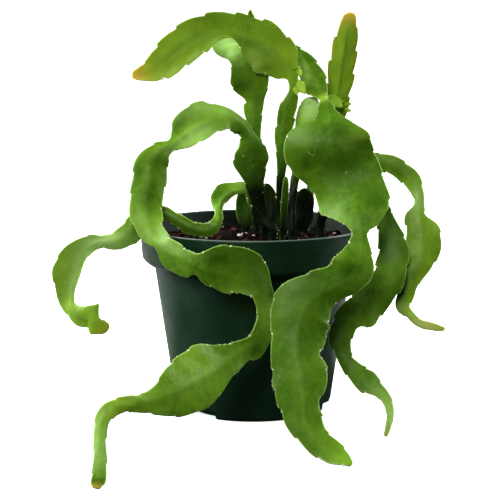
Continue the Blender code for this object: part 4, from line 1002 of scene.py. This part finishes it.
def leaf(shape, foot, ahead, width, length, steps=9, around=12, **values):
    """A small thick pointed leaf whose flat side is turned to the front."""
    side = TOWARDS_FRONT.cross(ahead).normalized()
    face = ahead.cross(side)
    points = []
    for i in range(steps):
        share = i / steps
        swell = math.sin(math.pi * min(1.0, share * 1.5) * 0.5 + 0.2)
        half = width / 2 * (LEAF_FOOT + (1.0 - LEAF_FOOT) * swell) * (1.0 - share ** 3)
        thick = LEAF_SHARE * half + LEAF_HALF
        for k in range(around):
            turn = 2.0 * math.pi * k / around
            round_it = side * (half * math.cos(turn)) + face * (thick * math.sin(turn))
            points.append(foot + ahead * (length * share) + round_it + face * (LEAF_BEND * share * share))
    points.append(foot + ahead * length + face * LEAF_BEND)
    last = (steps - 1) * around
    shape.add(points, tube(steps, around)[:-1] + fan(last, last + around, around), **values)


def new_shoots(finish):
    """Small new shoots in the areoles of the crown arch and at the foot of the upright stem."""
    shape = Shape()
    for name, row, across, aim, length, width, yellow in SHOOTS:
        aim = Vector(aim).normalized()
        foot = Path(name).inside(row, across) - aim * 0.5
        leaf(shape, foot, aim, width, length, rib=FAR, edge=FAR, yellow=yellow)
    shape.make("new_shoots", finish, "stem_green")


def scars(finish):
    """Thin pale scars that stand out a little from the skin."""
    shape = Shape()
    for name, spots in SCARS:
        path = Path(name)
        points = [path.on_skin(row, across) for row, across in spots]
        for here, there in zip(points, points[1:]):
            over = there + (there - here) * SCAR_OVERLAP
            spike(shape, here, over, SCAR_RADIUS, SCAR_SIDES, rib=FAR, pale=1.0)
    shape.make("skin_scars", finish, "stem_green")


# Pot.

def wall_radius(height):
    """The pot's outer radius at a height."""
    if height < WALL_TOP_HEIGHT:
        return BASE_RADIUS + (WALL_TOP_RADIUS - BASE_RADIUS) * height / WALL_TOP_HEIGHT
    if height < BAND_FOOT_HEIGHT:
        share = (height - WALL_TOP_HEIGHT) / (BAND_FOOT_HEIGHT - WALL_TOP_HEIGHT)
        return WALL_TOP_RADIUS + (BAND_RADIUS - WALL_TOP_RADIUS) * math.sin(share * math.pi / 2)
    share = (height - BAND_FOOT_HEIGHT) / (POT_HEIGHT - BAND_FOOT_HEIGHT)
    return BAND_RADIUS + (LIP_RADIUS - BAND_RADIUS) * share


def shoulder(steps):
    """Heights up the shoulder under the pot's band."""
    rise = BAND_FOOT_HEIGHT - WALL_TOP_HEIGHT
    return [WALL_TOP_HEIGHT + rise * k / steps for k in range(steps + 1)]


def turned(name, profile, segments):
    """A solid of revolution. The profile is (radius, height) from the axis out, up and back to it."""
    (_, foot), *rings, (_, head) = profile
    points = [(0.0, 0.0, foot)]
    for radius, height in rings:
        points += circle(radius, height, segments)
    points.append((0.0, 0.0, head))
    top = len(points) - 1
    faces = [face[::-1] for face in fan(1, 0, segments)] + fan(top - segments, top, segments)
    for ring in range(1, top - segments, segments):
        faces += bridge(ring, ring + segments, segments)
    return new_object(name, points, faces)


def apply_modifiers(obj):
    graph = bpy.context.evaluated_depsgraph_get()
    made = bpy.data.meshes.new_from_object(obj.evaluated_get(graph))
    obj.modifiers.clear()
    obj.data = made


def boolean(obj, others, operation):
    """Joins to obj, or cuts from it, a list of objects, which are then removed."""
    group = bpy.data.collections.new("boolean_group")
    bpy.context.scene.collection.children.link(group)
    for other in others:
        bpy.context.scene.collection.objects.unlink(other)
        group.objects.link(other)
    step = obj.modifiers.new("boolean", "BOOLEAN")
    step.operation = operation
    step.solver = "EXACT"
    step.operand_type = "COLLECTION"
    step.collection = group
    apply_modifiers(obj)
    for other in others:
        bpy.data.objects.remove(other)
    bpy.data.collections.remove(group)


def recess_blocks(inner, outwards, foot, roof, widen, steps=24):
    """Curved blocks at the pot's foot, each from an inner radius to a distance out from the wall."""
    half = RECESS_HALF_ANGLE + widen
    blocks = []
    for n in range(FOOT_RECESSES):
        middle = RECESS_TURN + 2.0 * math.pi * n / FOOT_RECESSES
        points = []
        for i in range(steps + 1):
            angle = middle + half * (2.0 * i / steps - 1.0)
            for radius, height in (
                (inner, foot), (wall_radius(max(foot, 0.0)) + outwards, foot),
                (wall_radius(roof) + outwards, roof), (inner, roof),
            ):
                points.append((*at_angle(radius, angle), height))
        blocks.append(new_object("recess_block", points, [face[::-1] for face in tube(steps + 1, 4)]))
    return blocks


def cylinder(x, y, radius, foot, roof, sides):
    """An upright cylinder."""
    turns = [2.0 * math.pi * i / sides for i in range(sides)]
    rings = [(x + radius * math.cos(t), y + radius * math.sin(t), z) for z in (foot, roof) for t in turns]
    return new_object("cylinder", rings, tube(2, sides))


def pot_profile():
    """The pot's section, from the axis out under the floor, up, over the lip and down inside."""
    flat = BASE_RADIUS - BASE_CHAMFER
    profile = [(0.0, 0.0), (flat, 0.0)]
    for k in range(1, FOOT_STEPS):
        turn = math.pi / 2 * k / FOOT_STEPS
        x = flat + (wall_radius(BASE_CHAMFER) - flat) * math.sin(turn)
        profile.append((x, BASE_CHAMFER * (1.0 - math.cos(turn))))
    heights = shoulder(SHOULDER_STEPS)
    under_lip = [POT_HEIGHT - depth for depth in LIP_RINGS]
    profile += [(wall_radius(h), h) for h in (BASE_CHAMFER, *WALL_RINGS, *heights, *under_lip)]
    for k in range(LIP_STEPS + 1):
        turn = math.pi * k / LIP_STEPS
        x = LIP_RADIUS - WALL / 2 + LIP_BEAD * math.cos(turn)
        profile.append((x, POT_HEIGHT - LIP_BEAD + LIP_BEAD * math.sin(turn)))
    inside = [(wall_radius(h) - WALL, h + WALL / 2) for h in heights]
    profile.append((inside[-1][0] + BAND_HOLLOW, POT_HEIGHT - LIP_DEPTH))
    return profile + inside[::-1] + [(wall_radius(FLOOR) - WALL, FLOOR), (0.0, FLOOR)]


def pot(finish):
    """The moulded pot, with a rounded foot, shoulder and lip."""
    made = turned("pot_moulding", pot_profile(), POT_SEGMENTS)
    inner, roof = RECESS_RADIUS - WALL, RECESS_HEIGHT + WALL
    linings = recess_blocks(inner, -WALL / 2, FLOOR / 2, roof, RECESS_WALL_ANGLE)
    boolean(made, linings, "UNION")
    cutters = recess_blocks(RECESS_RADIUS, WALL, -FLOOR, RECESS_HEIGHT, 0.0)
    for x, y, _ in circle(DRAIN_HOLE_CIRCLE, 0.0, DRAIN_HOLES):
        cutters.append(cylinder(x, y, DRAIN_HOLE_RADIUS, -FLOOR, 2.0 * FLOOR, HOLE_SIDES))
    boolean(made, cutters, "DIFFERENCE")
    soften = made.modifiers.new("soften", "BEVEL")
    soften.width = EDGE_ROUND * MM
    soften.segments = 2
    soften.limit_method = "ANGLE"
    soften.angle_limit = math.radians(40.0)
    apply_modifiers(made)
    made.data.materials.clear()
    made.data.materials.append(finish)
    made.data.shade_smooth()
    made.data.set_sharp_from_angle(angle=math.radians(35.0))
    # Painted shade where a face turns towards the axis, and a painted highlight on top of the lip bead.
    inside = made.data.attributes.new("inside", "FLOAT", "POINT")
    lip = made.data.attributes.new("lip", "FLOAT", "POINT")
    for vertex, painted_inner_shade, painted_lip_highlight in zip(made.data.vertices, inside.data, lip.data):
        outward = Vector((vertex.co.x, vertex.co.y, 0.0)).normalized()
        painted_inner_shade.value = eased(-1.5 * vertex.normal.dot(outward))
        painted_lip_highlight.value = eased(1.0 + (vertex.co.z / MM - POT_HEIGHT) / LIP_BEAD)
    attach(made, "root")
    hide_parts("pot")


# Potting mix.

def crumbly(x, y):
    """The height of the mix's lumpy top, with its crumbs."""
    crown = MIX_CROWN * (1.0 - (math.hypot(x, y) / BAND_RADIUS) ** 2)
    lumps = math.sin(x * 0.31 + 1.0) * math.cos(y * 0.27) + math.sin((x + y) * 0.53) * 0.6
    crumbs = noise.fractal(Vector((x, y, 3.0)) * CRUMB_SCALE, 1.0, 2.0, 4)
    return MIX_EDGE_HEIGHT + crown + MIX_LUMP * lumps + CRUMB_HEIGHT * crumbs


def soil(finish):
    """The body of the potting mix: a plain fill with a crumbly top."""
    roof = RECESS_HEIGHT + WALL + OVER_RECESS
    lining = RECESS_RADIUS - WALL - OVER_RECESS
    sides = [(lining, FLOOR + CLEARANCE), (lining, roof), (wall_radius(roof) - WALL - MIX_GAP, roof)]
    for height in shoulder(MIX_SHOULDER_STEPS):
        sides.append((wall_radius(height) - WALL - MIX_GAP, height + WALL / 2 + CLEARANCE))
    points = []
    for radius, height in sides:
        points += circle(radius, height, MIX_SEGMENTS)
    for ring in range(MIX_RINGS):
        radius = sides[-1][0] * (1.0 - ring / MIX_RINGS)
        points += [(x, y, crumbly(x, y)) for x, y, _ in circle(radius, 0.0, MIX_SEGMENTS)]
    shape = Shape()
    shape.add(points, tube(len(sides) + MIX_RINGS, MIX_SEGMENTS))
    made = shape.make("potting_mix_bed", finish, "mix_brown")
    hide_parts("potting_mix")


def scattered(draw, count, gap, reach, clear):
    """Places on the mix, each at least a gap from the others and clear of the stalks."""
    places = []
    tries = 0
    while len(places) < count and tries < 60 * count:
        tries += 1
        radius = reach * math.sqrt(draw.random())
        x, y = at_angle(radius, draw.uniform(0.0, 2.0 * math.pi))
        if min(math.hypot(x - sx, y - sy) for sx, sy, _ in STALKS.values()) < clear:
            continue
        if any(math.hypot(x - px, y - py) < gap for px, py in places):
            continue
        places.append((x, y))
    return places


def rough_block(shape, draw, centre, size, turn, **values):
    """A broken lump: the hull of random points in a box."""
    bm = bmesh.new()
    for _ in range(BLOCK_POINTS):
        corner = Vector([draw.uniform(-1.0, 1.0) for _ in range(3)])
        corner = corner / max(0.6, max(map(abs, corner)))
        bm.verts.new(Vector((corner.x * size[0], corner.y * size[1], corner.z * size[2])) / 2)
    hull = bmesh.ops.convex_hull(bm, input=bm.verts)
    inner = [g for g in hull["geom_interior"] if isinstance(g, bmesh.types.BMVert)]
    bmesh.ops.delete(bm, geom=inner, context="VERTS")
    bmesh.ops.delete(bm, geom=[v for v in bm.verts if not v.link_faces], context="VERTS")
    bmesh.ops.recalc_face_normals(bm, faces=bm.faces)
    bm.verts.index_update()
    points = [centre + turn @ v.co for v in bm.verts]
    faces = [tuple(v.index for v in f.verts) for f in bm.faces]
    bm.free()
    shape.add(points, faces, **values)


def tumbled(draw, **limits):
    """Random turns about the named axes, in order and within each one's limits."""
    turn = Matrix.Identity(3)
    for axis, (low, high) in limits.items():
        turn = turn @ Matrix.Rotation(draw.uniform(low, high), 3, axis)
    return turn


def bark_chips(draw, finish):
    shape = Shape()
    for x, y in scattered(draw, count=230, gap=3.6, reach=69.0, clear=5.0):
        length = draw.uniform(4.0, 13.0)
        size = (length, length * draw.uniform(0.35, 0.7), draw.uniform(1.6, 4.2))
        turn = tumbled(draw, Z=(0.0, 6.3), X=(-0.5, 0.5), Y=(-0.4, 0.4))
        centre = Vector((x, y, crumbly(x, y) + size[2] * draw.uniform(0.0, 0.35)))
        # Most chips get a low tone, near black, as painted shade in the pot.
        rough_block(shape, draw, centre, size, turn, tone=draw.random() ** 3.0)
    return shape.make("bark_pieces", finish, "mix_brown")


def perlite(draw, finish):
    shape = Shape()
    for x, y in scattered(draw, count=75, gap=5.0, reach=70.0, clear=4.5):
        size = draw.uniform(1.2, 3.2)
        turn = tumbled(draw, Z=(0.0, 6.3))
        centre = Vector((x, y, crumbly(x, y) + size * 0.35))
        rough_block(shape, draw, centre, (size, size * 0.9, size * 0.8), turn)
    return shape.make("perlite_grains", finish, "mix_brown")


def fibres(draw, finish):
    shape = Shape()
    for x, y in scattered(draw, count=70, gap=3.0, reach=66.0, clear=5.0):
        aim = draw.uniform(0.0, 2.0 * math.pi)
        length = draw.uniform(6.0, 16.0)
        tone = draw.random()
        last = Vector((x, y, crumbly(x, y) + draw.uniform(0.6, 2.0)))
        for _ in range(FIBRE_STEPS):
            aim += draw.uniform(-0.6, 0.6)
            step = Vector((math.cos(aim), math.sin(aim), draw.uniform(-0.15, 0.2))) * length / FIBRE_STEPS
            spike(shape, last, last + step, 0.28, 5, tone=tone)
            last = last + step * 0.9
    shape.make("mix_fibres", finish, "mix_brown")


def litter(bark_finish, perlite_finish, fibre_finish):
    """Loose bark, perlite and fibre on top of the mix."""
    draw = random.Random(29)
    for blocks in (bark_chips(draw, bark_finish), perlite(draw, perlite_finish)):
        blocks.data.set_sharp_from_angle(angle=math.radians(25.0))
    fibres(draw, fibre_finish)


# Studio.

def floor():
    """A pale floor that curves up into a backdrop."""
    profile = [(FLOOR_FRONT, 0.0), (SWEEP_START, 0.0)]
    for k in range(1, SWEEP_STEPS + 1):
        turn = math.pi / 2 * k / SWEEP_STEPS
        profile.append((SWEEP_START + SWEEP * math.sin(turn), SWEEP * (1.0 - math.cos(turn))))
    profile.append((SWEEP_START + SWEEP, BACKDROP_HEIGHT))
    points = [(x, y, z) for y, z in profile for x in (-FLOOR_HALF_WIDTH, FLOOR_HALF_WIDTH)]
    faces = [(2 * i, 2 * i + 1, 2 * i + 3, 2 * i + 2) for i in range(len(profile) - 1)]
    made = new_object("studio_floor", points, faces, unit=1.0)
    made.data.shade_smooth()
    paint = Paint("studio_paper", Roughness=0.9, Specular_IOR_Level=0.1, Base_Color=(0.93, 0.93, 0.93))
    paint.shade(Emission_Color=(1.0, 1.0, 1.0), Emission_Strength=0.6)
    made.data.materials.append(paint.material)
    made.visible_diffuse = made.visible_glossy = False


def panel(name, place, size, power, target, glossy):
    """A soft square light that faces its target, and shows in glossy skins or not."""
    light = bpy.data.lights.new(name, "AREA")
    light.shape = "RECTANGLE"
    light.size, light.size_y = size
    light.energy = power
    made = bpy.data.objects.new(name, light)
    made.location = place
    made.rotation_euler = (Vector(target) - Vector(place)).to_track_quat("-Z", "Y").to_euler()
    made.visible_camera = False
    made.visible_glossy = glossy
    bpy.context.scene.collection.objects.link(made)


def studio():
    floor()
    scene = bpy.context.scene
    scene.world = bpy.data.worlds.new("studio_world")
    scene.world.use_nodes = True
    back = scene.world.node_tree.nodes["Background"]
    back.inputs["Color"].default_value = (1.0, 1.0, 1.0, 1.0)
    back.inputs["Strength"].default_value = 0.03
    for light in LIGHTS:
        panel(*light)
    scene.view_settings.view_transform = "Standard"
    scene.view_settings.look = "Medium High Contrast"


def camera():
    """The photograph's viewpoint: in front of the pot, a little above it, looking slightly down."""
    data = bpy.data.cameras.new("camera")
    data.sensor_width = SENSOR
    data.lens = SENSOR * FOCAL_PIXELS / PHOTO_PIXELS
    data.shift_x = SHIFT_PIXELS / PHOTO_PIXELS
    data.clip_start, data.clip_end = 0.05, 50.0
    made = bpy.data.objects.new("camera", data)
    made.location = CAMERA_PLACE
    made.rotation_euler = (CAMERA_TILT, 0.0, 0.0)
    bpy.context.scene.collection.objects.link(made)
    bpy.context.scene.camera = made


skin, wool, bristle = stem_paint(), wool_paint(), bristle_paint()
for stem_name in STEMS:
    stem(stem_name, skin, wool, bristle)
new_shoots(skin)
scars(skin)
pot(pot_paint())
soil(mix_paint())
litter(bark_paint(), perlite_paint(), fibre_paint())
studio()
camera()
